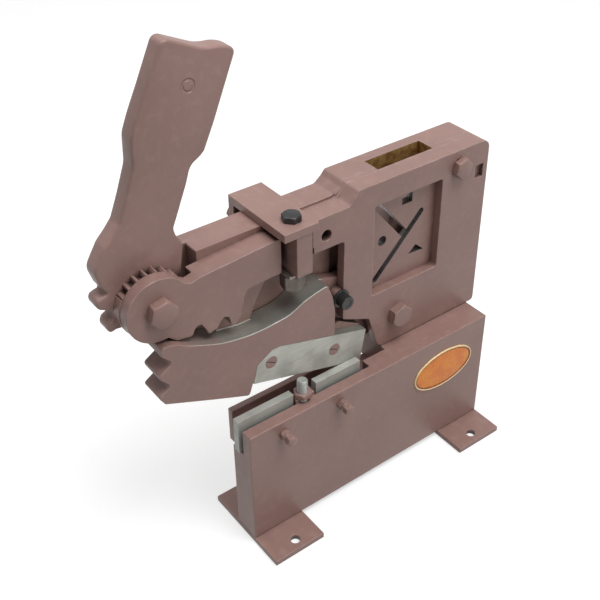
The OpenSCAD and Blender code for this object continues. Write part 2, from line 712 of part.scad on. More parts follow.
// Pivot bolts, nuts and washers
module bolt(p, seat, end, r, af, head, turn) {
    hex_front(p, seat, head, af, turn);
    rod(p, seat - over, end - seat + over, r);
}
module nut(p, y, h, r, af, turn) {
    difference() {
        hex_back(p, y, h, af, turn);
        rod(p, y - over, h + 2 * over, r + run_fit);
    }
}
module washer(p, y, t, r, hole) {
    difference() {
        rod(p, y, t, r);
        rod(p, y - over, t + 2 * over, hole);
    }
}
pivot_washer_t = 3;
module lever_pivot_bolt() color([0.5, 0.4, 0.37])
    bolt(lever_p, frame_y, back_y + pivot_washer_t + 1.8 * lever_bolt_r, lever_bolt_r, lever_af, lever_head_h, 12);
module lever_pivot_washer() color([0.6, 0.6, 0.58])
    washer(lever_p, back_y, pivot_washer_t, lever_af * 0.6, lever_bolt_r + bolt_fit);
module lever_pivot_nut() color([0.5, 0.5, 0.48])
    nut(lever_p, back_y + pivot_washer_t, 1.6 * lever_bolt_r, lever_bolt_r, lever_af, 5);
module carrier_pivot_bolt() color([0.5, 0.4, 0.37])
    bolt(carrier_p, frame_y, back_y + 1.8 * carrier_bolt_r, carrier_bolt_r, carrier_af, carrier_head_h, 20);
module carrier_thrust_washer() color([0.6, 0.6, 0.58])
    washer(carrier_p, plate_y, knife_t, carrier_boss_r * 0.8, carrier_bolt_r + bolt_fit);
module carrier_pivot_nut() color([0.5, 0.5, 0.48])
    nut(carrier_p, back_y, 1.6 * carrier_bolt_r, carrier_bolt_r, carrier_af, 10);
module upper_frame_bolt() color([0.5, 0.4, 0.37])
    bolt([upper_x, upper_z], frame_y, back_y + 1.8 * upper_r, upper_r, upper_af, upper_head_h, 15);
module upper_frame_nut() color([0.5, 0.5, 0.48])
    nut([upper_x, upper_z], back_y, 1.6 * upper_r, upper_r, upper_af, 25);
module idler_pin() color([0.6, 0.6, 0.58])
    rod(idler_p, cover_y - cover_hold + slide_gap, cover_hold + rear_y - cover_y + pin_hold - 2 * slide_gap, idler_pin_r);
guide_r = 6;
guide_washer_t = 1.5;
module retaining_washers() color([0.2, 0.2, 0.2])
    for (i = [0, 1])
        washer(guide_p, frame_y - (i + 1) * guide_washer_t, guide_washer_t, guide_r * (2.1 - i * 0.15), guide_r + bolt_fit);
module retaining_screw() color([0.13, 0.13, 0.14]) {
    seat = frame_y - 2 * guide_washer_t;
    difference() {
        rod(guide_p, seat - 2 * guide_r, 2 * guide_r, 1.5 * guide_r);
        rod(guide_p, seat - 2 * guide_r - over, guide_r + over, guide_r * 0.96, $fn = 6);
    }
    rod(guide_p, seat - over, plate_y - seat + over, guide_r);
}

// Stirrup over the arm
stirrup_x = -base_len * 0.32;
leg_x = stirrup_x + leg_w * 0.82;
stirrup_y = frame_y - leg_d * 0.6;
bolt_p = [leg_x + leg_w / 2, stirrup_y + leg_d / 2 + over];
plate_z = step_top + rear_rise;
clamp_z = plate_z - 2 * leg_w / 2;
module stirrup_bracket() color([0.55, 0.44, 0.41])
    difference() {
        union() {
            translate([stirrup_x, stirrup_y, plate_z]) cube([stirrup_w, stirrup_len, stirrup_t]);
            translate([leg_x, stirrup_y + over, plate_z - leg_h]) cube([leg_w, leg_d, leg_h + over]);
            translate([stirrup_x, stirrup_y + stirrup_len - stirrup_t, plate_z - 2 * leg_w])
                cube([stirrup_w / 2, stirrup_t, 2 * leg_w + over]);
        }
        translate([bolt_p.x, bolt_p.y, plate_z - leg_h - over])
            cylinder(h = leg_h + stirrup_t + 2 * over, r = stirrup_r + bolt_fit);
        rod([stirrup_x + stirrup_w / 4, clamp_z], back_y, stirrup_len, arm_screw_r + bolt_fit);
    }
module stirrup_clamp_screw() color([0.5, 0.4, 0.37]) {
    end = stirrup_y + stirrup_len + arm_screw_r;
    p = [stirrup_x + stirrup_w / 4, clamp_z];
    rod(p, back_y, end - back_y + over, arm_screw_r);
    hex_back(p, end, 1.3 * arm_screw_r, 3.2 * arm_screw_r);
}
pad_t = 4;
stirrup_nut_h = 28;
module stirrup_bolt() color([0.13, 0.13, 0.14])
    translate([bolt_p.x, bolt_p.y, 0]) {
        translate([0, 0, plate_z + stirrup_t]) rotate(12) hex_prism(1.3 * stirrup_r, stirrup_af);
        translate([0, 0, plate_z - leg_h - pad_t - stirrup_nut_h + over])
            cylinder(h = leg_h + pad_t + stirrup_nut_h + stirrup_t, r = stirrup_r);
    }
module stirrup_pad() color([0.3, 0.27, 0.26])
    translate([bolt_p.x, bolt_p.y, plate_z - leg_h - pad_t]) difference() {
        translate([-leg_w, -leg_w, 0] / 2 * 0.92) cube([leg_w * 0.92, leg_w * 0.92, pad_t]);
        translate([0, 0, -over]) cylinder(h = pad_t + 2 * over, r = stirrup_r + bolt_fit);
    }
module stirrup_nut() color([0.6, 0.6, 0.58])
    translate([bolt_p.x, bolt_p.y, plate_z - leg_h - pad_t - stirrup_nut_h])
        rotate(20) hex_ring(stirrup_nut_h, stirrup_af, stirrup_r + run_fit);

// Lever, its gear and bush
lever_share = [[0.158, 0.999, 0.03], [0.289, 0.992, 0.03], [0.343, 0.972, 0.04], [0.379, 0.963, 0.03],
    [0.461, 0.891, 0.03], [0.453, 0.879, 0], [0.356, 0.645, 0.2], [0.305, 0.539, 0.05], [0.286, 0.524, 0],
    [0.241, 0.498, 0.06], [0.218, 0.43, 0.2], [0.162, 0.298, 0.1], [0.145, 0.26, 0.04], [0.155, 0.225, 0.04],
    [0.181, 0.183, 0.05], [0.171, 0.122, 0.05], [0.155, 0.03, 0], [0.11, -0.11, 0], [-0.03, -0.15, 0], [-0.15, 0.02, 0],
    [-0.175, 0.121, 0.05], [-0.196, 0.196, 0.06], [-0.141, 0.285, 0.05], [-0.104, 0.322, 0],
    [-0.071, 0.36, 0.05], [-0.03, 0.458, 0.3], [0.01, 0.566, 0.1], [0.016, 0.678, 0.1], [0.045, 0.745, 0.1],
    [0.096, 0.846, 0.2]];
dimple_share = [0.257, 0.8125];
dimple_r = 9.5;
hub_teeth = [157, 205];
drive_pin_r = 4;
bush_r = lever_bolt_r + bush_wall;
module drive_pins_at()
    for (a = [60, 240]) translate([lever_p.x, 0, lever_p.y] + 0.64 * drive_tip * [cos(a), 0, sin(a)]) children();
module lever() color([0.55, 0.44, 0.41])
    difference() {
        union() {
            slab(lever_y, lever_t) polygon(rounded(placed(lever_share, lever_len, lever_p)));
            rod(lever_p, lever_y, lever_t, hub_r - over);
            for (a = hub_teeth)
                slab(lever_y, lever_t) translate(lever_p) rotate(a)
                    polygon([[hub_r * 0.3, -hub_tooth], [hub_r - hub_tooth, -hub_tooth * 0.95],
                        [hub_r, -hub_tooth * 0.7], [hub_r + hub_tooth, -hub_tooth * 0.45],
                        [hub_r + hub_tooth, hub_tooth * 0.45], [hub_r, hub_tooth * 0.7],
                        [hub_r - hub_tooth, hub_tooth * 0.95], [hub_r * 0.3, hub_tooth]]);
        }
        rod(lever_p, lever_y - over, lever_t + 2 * over, bush_r + run_fit);
        drive_pins_at() rod([0, 0], lever_y - over, lever_t * 0.6 + over, drive_pin_r + run_fit);
        washer(lever_p + lever_len * dimple_share, lever_y - over, over * 1.6, dimple_r, dimple_r - over / 2);
    }
module lever_bush() color([0.72, 0.53, 0.25])
    washer(lever_p, gear_y, lever_y + lever_t - gear_y, bush_r, lever_bolt_r + run_fit);
module drive_gear() color([0.5, 0.41, 0.38])
    difference() {
        slab(gear_y, lever_y - gear_y) polygon(gear_points(drive_teeth, lever_p, -gear_slope));
        rod(lever_p, gear_y - over, frame_gap, bush_r + run_fit);
        drive_pins_at() rod([0, 0], gear_y - over, frame_gap, drive_pin_r + run_fit);
    }
module gear_drive_pins() color([0.6, 0.6, 0.58])
    drive_pins_at() rod([0, 0], gear_y, lever_y - gear_y + lever_t * 0.55, drive_pin_r);
module idler_gear() color([0.35, 0.34, 0.33])
    difference() {
        slab(gear_y, gear_t) polygon(gear_points(idler_teeth, idler_p, 180 / idler_teeth - gear_slope));
        rod(idler_p, gear_y - over, gear_t + 2 * over, idler_pin_r + run_fit);
    }

// Blade carrier. Its layers from front to back: toothed body, filling behind the blade,
// tongue behind the front plate, boss and knife holder, toothed sector.
carry_back = rear_y - slide_gap;
sector_t = 10;
sector_end = 5.7 * 360 / sector_teeth;
body_share = [[-0.949, 0.332, 0.02], [-0.981, 0.34, 0.01], [-1.002, 0.338, 0.01], [-1.007, 0.31, 0.01],
    [-0.968, 0.268, 0.014], [-1.02, 0.236, 0.01], [-1.02, 0.222, 0.01], [-0.984, 0.18, 0.014],
    [-1.032, 0.15, 0.01], [-1.011, 0.115, 0.01], [-0.832, 0.036, 0.1], [-0.693, -0.023, 0.01],
    [-0.674, 0.03, 0], [-0.32, -0.07, 0], [-0.32, 0.171, 0.1], [-0.33, 0.235, 0.1], [-0.354, 0.295, 0.01],
    [-0.41, 0.286, 0.1], [-0.461, 0.271, 0.1], [-0.517, 0.244, 0.1], [-0.614, 0.236, 0.2],
    [-0.684, 0.237, 0.3], [-0.789, 0.256, 0.3], [-0.905, 0.305, 0.1]];
fill_share = [[-0.36, -0.059], [-0.36, 0.081], [-0.271, 0.081], [-0.18, 0.027], [-0.169, -0.099], [-0.217, -0.1]];
tongue_share = [[-0.36, -0.059], [-0.36, 0.281], [-0.343, 0.285], [-0.266, 0.259], [-0.189, 0.256],
    [-0.189, -0.099]];
holder_share = [[-0.223, -0.084], [-0.223, 0.2586]];
module shares(table) polygon([for (p = table) carrier_p + carrier_len * flat2(p)]);
module blade_shape() {
    h = up_h;
    translate(tip_p) rotate(-up_slope)
        polygon([[0, 0], [up_len, 0], [up_len - h * 0.1, h], [h * 0.58, h], [h * 0.33, h * 0.92], [-h * 0.02, h * 0.55]]);
}
module blade_screws_at()
    for (s = up_screw_share)
        translate([tip_p.x, 0, tip_p.y] + s[0] * up_len * [cos(up_slope), 0, -sin(up_slope)]
            + s[1] * up_h * [sin(up_slope), 0, cos(up_slope)]) children();
blade_screw_r = 5;
module blade_screw(fit, length) {
    r = blade_screw_r + fit;
    translate([0, blade_y, 0]) rotate([-90, 0, 0]) {
        translate([0, 0, -fit]) cylinder(h = length, r = r);
        translate([0, 0, -fit]) cylinder(h = r * 0.8 + fit, r1 = 1.7 * r, r2 = r);
    }
}
module blade_carrier() color([0.55, 0.44, 0.41]) {
    a0 = 180 - gear_slope;
    step = 360 / sector_teeth;
    root = gear_m * (sector_teeth / 2 - 1.25);
    inside = sector_tip - web_w;
    difference() {
        union() {
            slab(blade_y, carry_back - blade_y) polygon(rounded(placed(body_share, carrier_len, carrier_p)));
            slab(blade_back, carry_back - blade_back) shares(fill_share);
            slab(plate_y + slide_gap, carry_back - plate_y - slide_gap) shares(tongue_share);
            slab(tongue_y, tongue_t) {
                translate(carrier_p) circle(r = carrier_boss_r);
                polygon(concat([for (p = holder_share) carrier_p + carrier_len * p],
                    [[move_left, pivot_z + carrier_len * 0.31], [move_left, move_top],
                        [move_right - 2 * move_lap, move_top], [move_right, move_top - 2 * move_lap],
                        [move_right, move_floor], [pivot_x + carrier_boss_r * 0.88, pivot_z + carrier_boss_r * 0.45],
                        [pivot_x + carrier_boss_r / 3, pivot_z - carrier_boss_r * 0.88],
                        [pivot_x - carrier_boss_r * 0.8, pivot_z - carrier_boss_r * 0.9]]));
            }
            slab(carry_back - sector_t, sector_t)
                polygon(concat([for (i = [-1:5]) each tooth(sector_teeth, carrier_p, a0 - i * step)],
                    arc(carrier_p, root, a0 - sector_end, a0 - sector_end, 1),
                    arc(carrier_p, inside, a0 - sector_end, a0 + carrier_turn / 2, 8),
                    [carrier_p + carrier_len * [-0.62, 0.2], carrier_p + carrier_len * [-0.76, 0.2]],
                    arc(carrier_p, root, a0 + carrier_turn * 0.6, a0 + step * 1.6, 3)));
        }
        slab(blade_y - over, up_t + over) blade_shape();
        rod(lever_p, cover_y - over, frame_gap, drive_tip + over);
        slab(tongue_y - over, knife_t + over) polygon(move_outline);
        slab(tongue_y, tongue_t + over) translate(way) square([way_w, way_h]);
        rod(carrier_p, tongue_y - over, tongue_t + 2 * over, carrier_bolt_r + bush_wall + run_fit);
        blade_screws_at() blade_screw(bolt_fit, up_t * 2.2);
        for (p = move_screws) countersunk(p, tongue_y, 1, tongue_t + over, bolt_fit);
    }
}
module carrier_bush() color([0.72, 0.53, 0.25])
    washer(carrier_p, tongue_y, tongue_t, carrier_bolt_r + bush_wall, carrier_bolt_r + run_fit);
module upper_blade() color([0.74, 0.75, 0.76])
    difference() {
        slab(blade_y, up_t) blade_shape();
        blade_screws_at() blade_screw(bolt_fit, up_t * 2);
    }
module upper_blade_screws() color([0.6, 0.5, 0.46])
    blade_screws_at() difference() {
        blade_screw(0, up_t * 2);
        rotate([0, 30, 0]) translate([-2 * blade_screw_r, blade_y - over, -blade_screw_r / 6])
            cube([4 * blade_screw_r, over * 1.7, blade_screw_r / 3]);
    }

base_casting();
left_foot();
right_foot();
front_frame();
rear_frame();
front_arm();
lower_blade();
blade_set_screws();
blade_locknuts();
stop_stud();
stop_stud_nut();
stirrup_bracket();
stirrup_bolt();
stirrup_pad();
stirrup_nut();
stirrup_clamp_screw();
fixed_section_knife();
fixed_knife_screws();
lever_pivot_bolt();
lever_pivot_washer();
lever_pivot_nut();
carrier_pivot_bolt();
carrier_thrust_washer();
carrier_pivot_nut();
upper_frame_bolt();
upper_frame_nut();
idler_pin();
retaining_screw();
retaining_washers();
frame_fixing_screws();
arm_fixing_screws();
badge_plate();
lever();
lever_bush();
drive_gear();
gear_drive_pins();
idler_gear();
blade_carrier();
carrier_bush();
upper_blade();
upper_blade_screws();
moving_section_knife();
moving_knife_screws();
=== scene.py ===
"""Looks of a geared bench shear: camera, studio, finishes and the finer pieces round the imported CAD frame."""

import logging
import math
from dataclasses import dataclass, field, replace
from enum import Enum
from functools import cached_property
from typing import Optional

import bpy
import numpy as np
from mathutils import Matrix, Vector

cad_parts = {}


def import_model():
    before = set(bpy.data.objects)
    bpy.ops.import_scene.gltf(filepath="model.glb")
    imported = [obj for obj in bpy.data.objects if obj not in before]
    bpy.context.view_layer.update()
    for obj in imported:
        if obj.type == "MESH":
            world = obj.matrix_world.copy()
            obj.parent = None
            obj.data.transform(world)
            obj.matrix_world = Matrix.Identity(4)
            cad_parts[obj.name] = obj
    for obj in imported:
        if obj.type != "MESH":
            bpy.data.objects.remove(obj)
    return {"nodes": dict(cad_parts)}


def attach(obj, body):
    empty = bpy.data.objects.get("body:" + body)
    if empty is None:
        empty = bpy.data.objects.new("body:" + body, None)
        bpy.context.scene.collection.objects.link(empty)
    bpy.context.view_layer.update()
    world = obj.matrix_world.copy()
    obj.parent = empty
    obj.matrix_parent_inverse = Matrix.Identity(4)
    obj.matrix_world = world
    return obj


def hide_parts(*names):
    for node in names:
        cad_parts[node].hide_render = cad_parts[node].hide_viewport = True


LOG = logging.getLogger("bench_shear")
MM = 0.001
Colour = tuple[float, float, float]
Point = tuple[float, float, float]


class Body(Enum):
    """The four moving groups that a piece may ride on."""

    FRAME = "frame"
    LEVER = "lever"
    IDLER = "idler"
    CARRIER = "carrier"


class Way(Enum):
    """The way a screw points, from its foot to its end."""

    UP = (0.0, 0.0, 1.0)
    FRONT = (0.0, -1.0, 0.0)
    BACK = (0.0, 1.0, 0.0)


def shade(red: int, green: int, blue: int) -> Colour:
    """Turns a display colour of 0 to 255 into the linear colour that a shader takes."""
    parts = [c / 255 for c in (red, green, blue)]
    return tuple(c / 12.92 if c <= 0.04045 else ((c + 0.055) / 1.055) ** 2.4 for c in parts)


# ---------------------------------------------------------------- camera and studio


@dataclass(frozen=True)
class Viewpoint:
    """The photograph's viewing angle, worked out from the shear's own edges."""

    place: Point = (-0.64283, -0.73476, 1.01776)
    turn: float = -0.6579012
    pitch: float = 0.6143512
    roll: float = 0.0008067
    focal_px: float = 971.795
    centre_px: tuple[float, float] = (321.297, 274.067)
    picture_px: int = 600
    sensor_mm: float = 36.0

    def set_up(self) -> bpy.types.Object:
        """Makes the camera and gives it to the scene.

        Returns:
            The camera object.
        """
        data = bpy.data.cameras.new("viewpoint")
        data.sensor_width = self.sensor_mm
        data.lens = self.focal_px / self.picture_px * self.sensor_mm
        data.shift_x = (self.picture_px / 2 - self.centre_px[0]) / self.picture_px
        data.shift_y = (self.centre_px[1] - self.picture_px / 2) / self.picture_px
        data.clip_start, data.clip_end = 0.05, 60.0
        camera = bpy.data.objects.new("viewpoint", data)
        spin = (
            Matrix.Rotation(self.turn, 4, "Z")
            @ Matrix.Rotation(math.pi / 2 - self.pitch, 4, "X")
            @ Matrix.Rotation(self.roll, 4, "Z")
        )
        camera.matrix_world = Matrix.Translation(self.place) @ spin
        bpy.context.scene.collection.objects.link(camera)
        bpy.context.scene.camera = camera
        return camera


@dataclass(frozen=True)
class Softbox:
    """A large square lamp that looks at one point of the shear."""

    name: str
    place: Point
    side: float
    watts: float
    aim: Point = (0.0, 0.0, 0.25)

    def hang(self) -> bpy.types.Object:
        """Makes the lamp and turns it to its aim.

        Returns:
            The lamp object.
        """
        data = bpy.data.lights.new(self.name, "AREA")
        data.shape, data.size, data.energy = "SQUARE", self.side, self.watts
        lamp = bpy.data.objects.new(self.name, data)
        away = Vector(self.place) - Vector(self.aim)
        lamp.matrix_world = Matrix.Translation(self.place) @ away.to_track_quat("Z", "Y").to_matrix().to_4x4()
        bpy.context.scene.collection.objects.link(lamp)
        return lamp


@dataclass(frozen=True)
class Studio:
    """Pale floor, even sky and soft lamps."""

    floor_half: float = 9.0
    floor_shade: float = 0.32
    floor_seen: float = 0.6
    floor_glow: float = 0.54
    sky: float = 0.25
    lamps: tuple[Softbox, ...] = (
        Softbox("top_softbox", (0.5, -1.2, 4.2), 2.4, 118.0),
        Softbox("back_softbox", (-0.7, 1.3, 3.8), 2.0, 46.0),
        Softbox("front_softbox", (1.1, -2.6, 1.5), 1.6, 16.0),
    )

    def build(self) -> None:
        """Makes the floor, the sky and the lamps."""
        self._floor()
        self._sky()
        for lamp in self.lamps:
            lamp.hang()
        bpy.context.scene.view_settings.view_transform = "Standard"

    def _floor(self) -> None:
        """Lays a flat square. It shows the camera and the metal a white floor under the object's shadow."""
        half = self.floor_half
        corners = [(-half, -half, 0), (half, -half, 0), (half, half, 0), (-half, half, 0)]
        mesh = bpy.data.meshes.new("studio_floor")
        mesh.from_pydata(corners, [], [(0, 1, 2, 3)])
        floor = bpy.data.objects.new("studio_floor", mesh)
        bpy.context.scene.collection.objects.link(floor)
        graph = Graph("studio_floor")
        matt = graph.node("ShaderNodeBsdfDiffuse", Color=(self.floor_shade,) * 3)
        glow = graph.node("ShaderNodeEmission", Color=(1.0, 1.0, 1.0), Strength=self.floor_glow)
        pale = graph.node("ShaderNodeBsdfDiffuse", Color=(self.floor_seen,) * 3)
        both = graph.node("ShaderNodeAddShader", pale.outputs[0], glow.outputs[0])
        graph.finish(graph.node("ShaderNodeMixShader", graph.seen(), matt.outputs[0], both.outputs[0]).outputs[0])
        mesh.materials.append(graph.material)

    def _sky(self) -> None:
        """Gives even light, and looks white to the camera and in metal."""
        world = bpy.data.worlds.new("studio_sky")
        graph = Graph("studio_sky", world)
        back = graph.node("ShaderNodeBackground", Strength=graph.span(graph.seen(), 0.0, 1.0, self.sky, 1.0))
        graph.node("ShaderNodeOutputWorld", back.outputs[0])
        bpy.context.scene.world = world


# ---------------------------------------------------------------- finishes


class Graph:
    """The nodes of a new material or of the sky, added one by one and joined as they are added."""

    def __init__(self, name: str, owner: Optional[bpy.types.World] = None) -> None:
        """Starts an empty material of that name, or empties the owner's nodes if there is one."""
        self.material = owner or bpy.data.materials.new(name)
        self.material.use_nodes = True
        self.tree = self.material.node_tree
        self.tree.nodes.clear()

    @cached_property
    def place(self) -> bpy.types.NodeSocket:
        """Gives the object coordinates, whose node is made at its first use."""
        return self.node("ShaderNodeTexCoord").outputs["Object"]

    def seen(self) -> bpy.types.NodeSocket:
        """Gives 1 to rays from the camera, from reflections and through glass, and 0 to the rest."""
        path = self.node("ShaderNodeLightPath").outputs
        direct = self.maths("MAXIMUM", path["Is Camera Ray"], path["Is Glossy Ray"])
        return self.maths("MAXIMUM", direct, path["Is Transmission Ray"])

    def node(self, kind: str, *inputs: object, **settings: object) -> bpy.types.Node:
        """Adds a node.

        Args:
            kind: Blender's name of the node.
            inputs: Values or outputs for its sockets, in order. None leaves one alone.
            settings: Sockets by name, with _ for a space, or the node's own settings.

        Returns:
            The node.
        """
        made = self.tree.nodes.new(kind)
        for key, value in settings.items():
            socket = made.inputs.get(key.replace("_", " "))
            if socket is None or hasattr(made, key) and not key[0].isupper():
                setattr(made, key, value)
            else:
                self._feed(socket, value)
        for socket, value in zip([s for s in made.inputs if s.enabled], inputs):
            if value is not None:
                self._feed(socket, value)
        return made

    def _feed(self, socket: bpy.types.NodeSocket, value: object) -> None:
        """Links an output to the socket, or sets the socket's own value."""
        if isinstance(value, bpy.types.NodeSocket):
            self.tree.links.new(value, socket)
        elif isinstance(value, tuple) and len(value) == 3 and socket.type == "RGBA":
            socket.default_value = (*value, 1.0)
        else:
            socket.default_value = value

    def maths(self, way: str, first: object, second: object = None) -> bpy.types.NodeSocket:
        """Joins one or two numbers, such as MULTIPLY, and returns the result's socket."""
        return self.node("ShaderNodeMath", first, second, operation=way).outputs[0]

    def noise(self, size_mm: float, detail: float = 3.0, stretch: Colour = (1.0, 1.0, 1.0)) -> bpy.types.NodeSocket:
        """Makes cloudy noise with blots of about that size.

        Args:
            size_mm: The blots' size in millimetres.
            detail: How many finer octaves lie on it.
            stretch: How much denser it is along X, Y and Z.

        Returns:
            The noise's value, about 0.3 to 0.7.
        """
        spread = self.node("ShaderNodeVectorMath", self.place, stretch, operation="MULTIPLY").outputs[0]
        return self.node("ShaderNodeTexNoise", Vector=spread, Scale=1000 / size_mm, Detail=detail).outputs[0]

    def span(
        self, value: object, low: float, high: float, start: float = 0.0, end: float = 1.0
    ) -> bpy.types.NodeSocket:
        """Stretches low to high onto start to end, held at both ends, and returns the result's socket."""
        made = self.node("ShaderNodeMapRange", Value=value, From_Min=low, From_Max=high, To_Min=start, To_Max=end)
        return made.outputs[0]

    def mix(self, amount: object, first: object, second: object) -> bpy.types.NodeSocket:
        """Mixes two colours by the amount and returns the result's socket."""
        made = self.tree.nodes.new("ShaderNodeMix")
        made.data_type = "RGBA"
        self._feed(made.inputs[0], amount)
        self._feed(made.inputs[6], first)
        self._feed(made.inputs[7], second)
        return made.outputs[2]

    def parts(self, vector: bpy.types.NodeSocket) -> bpy.types.NodeOutputs:
        """Splits a vector and returns its X, Y and Z outputs."""
        return self.node("ShaderNodeSeparateXYZ", vector).outputs

    def lying(self) -> bpy.types.NodeOutputs:
        """Returns the X, Y and Z outputs of the surface's true normal."""
        return self.parts(self.node("ShaderNodeNewGeometry").outputs["True Normal"])

    def between(
        self, value: bpy.types.NodeSocket, low: float, high: float, fade: float = 0.0005
    ) -> bpy.types.NodeSocket:
        """Gives 1 where the value lies between low and high, with a short fade outside them."""
        return self.maths("MULTIPLY", self.span(value, low - fade, low), self.span(value, high, high + fade, 1.0, 0.0))

    def edges(self, radius: float) -> tuple[bpy.types.NodeSocket, bpy.types.NodeSocket]:
        """Finds the edges within the radius.

        Args:
            radius: How far an edge's rounding reaches, in metres.

        Returns:
            The rounded normal, and how far it leans off the true one, 0 to 1.
        """
        round_off = self.node("ShaderNodeBevel", Radius=radius, samples=6).outputs[0]
        flat = self.node("ShaderNodeNewGeometry").outputs["Normal"]
        same = self.node("ShaderNodeVectorMath", round_off, flat, operation="DOT_PRODUCT").outputs["Value"]
        return round_off, self.maths("SUBTRACT", 1.0, same)

    def recess(self, reach: float) -> bpy.types.NodeSocket:
        """Gives 1 deep inside gaps and holes narrower than about the reach in metres, and 0 in the open."""
        sheltered = self.node("ShaderNodeAmbientOcclusion", Distance=reach, samples=6)
        return self.span(sheltered.outputs["AO"], 0.12, 0.5, 1.0, 0.0)

    def bumps(
        self, normal: Optional[bpy.types.NodeSocket], *layers: tuple[bpy.types.NodeSocket, float]
    ) -> bpy.types.NodeSocket:
        """Lays bumps on a normal.

        Args:
            normal: The normal below them, or None for the surface's own.
            layers: Pairs of a height's socket and what its 1 stands for in metres.

        Returns:
            The bumped normal.
        """
        for height, metres in layers:
            bump = self.node("ShaderNodeBump", Strength=1.0, Distance=metres, Height=height)
            if normal is not None:
                self._feed(bump.inputs["Normal"], normal)
            normal = bump.outputs[0]
        return normal

    def shader(self, coat: tuple[bpy.types.NodeSocket, ...], metal: float = 0.0) -> bpy.types.NodeSocket:
        """Makes the shader of a coat's colour, roughness and normal, and returns its output."""
        tone, rough, normal = coat
        made = self.node("ShaderNodeBsdfPrincipled", Base_Color=tone, Roughness=rough, Normal=normal, Metallic=metal)
        return made.outputs[0]

    def finish(self, surface: bpy.types.NodeSocket) -> bpy.types.Material:
        """Gives the surface to the material and returns the material."""
        self.node("ShaderNodeOutputMaterial", surface)
        return self.material


@dataclass(frozen=True)
class Finish:
    """What every finish of the shear has: a name and the record's slot."""

    name: str
    slot: str

    def make(self) -> bpy.types.Material:
        """Builds the material, which each kind of finish does in its own way."""
        raise NotImplementedError


@dataclass(frozen=True)
class CastPaint(Finish):
    """Rose-brown machine paint over a sand casting, paled on its edges by rubbed wear and a painted highlight, and
    darkened in its gaps by painted shade.
    """

    colour: Colour = shade(154, 122, 114)
    # Pale paint: rubbed wear in random blots, and a painted highlight along the edges.
    wear_and_edge_highlight: Colour = shade(206, 178, 170)
    grime: Colour = shade(118, 90, 84)
    # Near-black colour of the painted shade in gaps and holes.
    painted_gap_shade: Colour = shade(38, 26, 24)
    gap: float = 0.022
    sand_mm: float = 2.8
    sand_height: float = 0.00014
    wave_height: float = 0.0005
    edge: float = 0.0022
    edge_wear_and_highlight: float = 0.8
    gloss: float = 0.4

    def coat(self, graph: Graph) -> tuple[bpy.types.NodeSocket, ...]:
        """Lays the paint.

        Args:
            graph: The material's nodes.

        Returns:
            The paint's colour, roughness and normal.
        """
        cloud = graph.noise(70, 3)
        blot = graph.noise(11, 4)
        fleck = graph.noise(1.8, 2)
        tone = graph.mix(graph.span(cloud, 0.36, 0.64, 0.22, 0.0), self.colour, self.grime)
        tone = graph.mix(graph.span(blot, 0.5, 0.74, 0.0, 0.12), tone, self.wear_and_edge_highlight)
        tone = graph.mix(graph.span(fleck, 0.64, 0.72, 0.0, 0.16), tone, self.grime)
        # Edges are paled towards the pale paint: partly rubbed wear, partly a painted highlight along each edge.
        round_off, lean = graph.edges(self.edge)
        edge_wear_and_highlight = graph.maths("MULTIPLY", self._lean(graph, lean), graph.span(blot, 0.34, 0.6, 0.3, 1.0))
        tone = graph.mix(edge_wear_and_highlight, tone, self.wear_and_edge_highlight)
        # Painted shade: gaps and holes narrower than the reach are darkened towards near black by ambient occlusion.
        tone = graph.mix(graph.recess(self.gap), tone, self.painted_gap_shade)
        rough = graph.span(blot, 0.35, 0.65, self.gloss - 0.04, self.gloss + 0.08)
        bed = self._bed(graph, round_off)
        normal = graph.bumps(bed, (cloud, self.wave_height), (graph.noise(self.sand_mm, 3), self.sand_height))
        return tone, rough, normal

    def _bed(self, graph: Graph, round_off: bpy.types.NodeSocket) -> Optional[bpy.types.NodeSocket]:
        """Gives the normal below the bumps. Here it is the surface's own, as its edges are round already."""
        return None

    def _lean(self, graph: Graph, lean: bpy.types.NodeSocket) -> bpy.types.NodeSocket:
        """Turns an edge's lean into how far it is paled, by rubbed wear and a painted highlight."""
        return graph.span(lean, 0.01, 0.2, 0.0, self.edge_wear_and_highlight)

    def make(self) -> bpy.types.Material:
        """Builds the paint."""
        graph = Graph(self.name)
        return graph.finish(graph.shader(self.coat(graph)))


@dataclass(frozen=True)
class BrushedPaint(CastPaint):
    """The same paint brushed over bolts and plates, whose edges are only rounded by the shading."""

    def _bed(self, graph: Graph, round_off: bpy.types.NodeSocket) -> Optional[bpy.types.NodeSocket]:
        """Gives the rounded normal."""
        return round_off


@dataclass(frozen=True)
class LeverPaint(CastPaint):
    """The lever's paint, with a shallow ring near its top. The ring is bump only, and on both faces."""

    ring_p: tuple[float, float] = (-0.2054, 0.6193)
    ring: tuple[float, float] = (0.0058, 0.0072)
    ring_depth: float = 0.0011

    def _bed(self, graph: Graph, round_off: bpy.types.NodeSocket) -> Optional[bpy.types.NodeSocket]:
        """Sinks a round groove into the surface's own normal."""
        flat = graph.node("ShaderNodeVectorMath", graph.place, (1.0, 0.0, 1.0), operation="MULTIPLY").outputs[0]
        middle = (self.ring_p[0], 0.0, self.ring_p[1])
        away = graph.node("ShaderNodeVectorMath", flat, middle, operation="DISTANCE").outputs["Value"]
        return graph.bumps(None, (graph.between(away, *self.ring, 0.0012), -self.ring_depth))


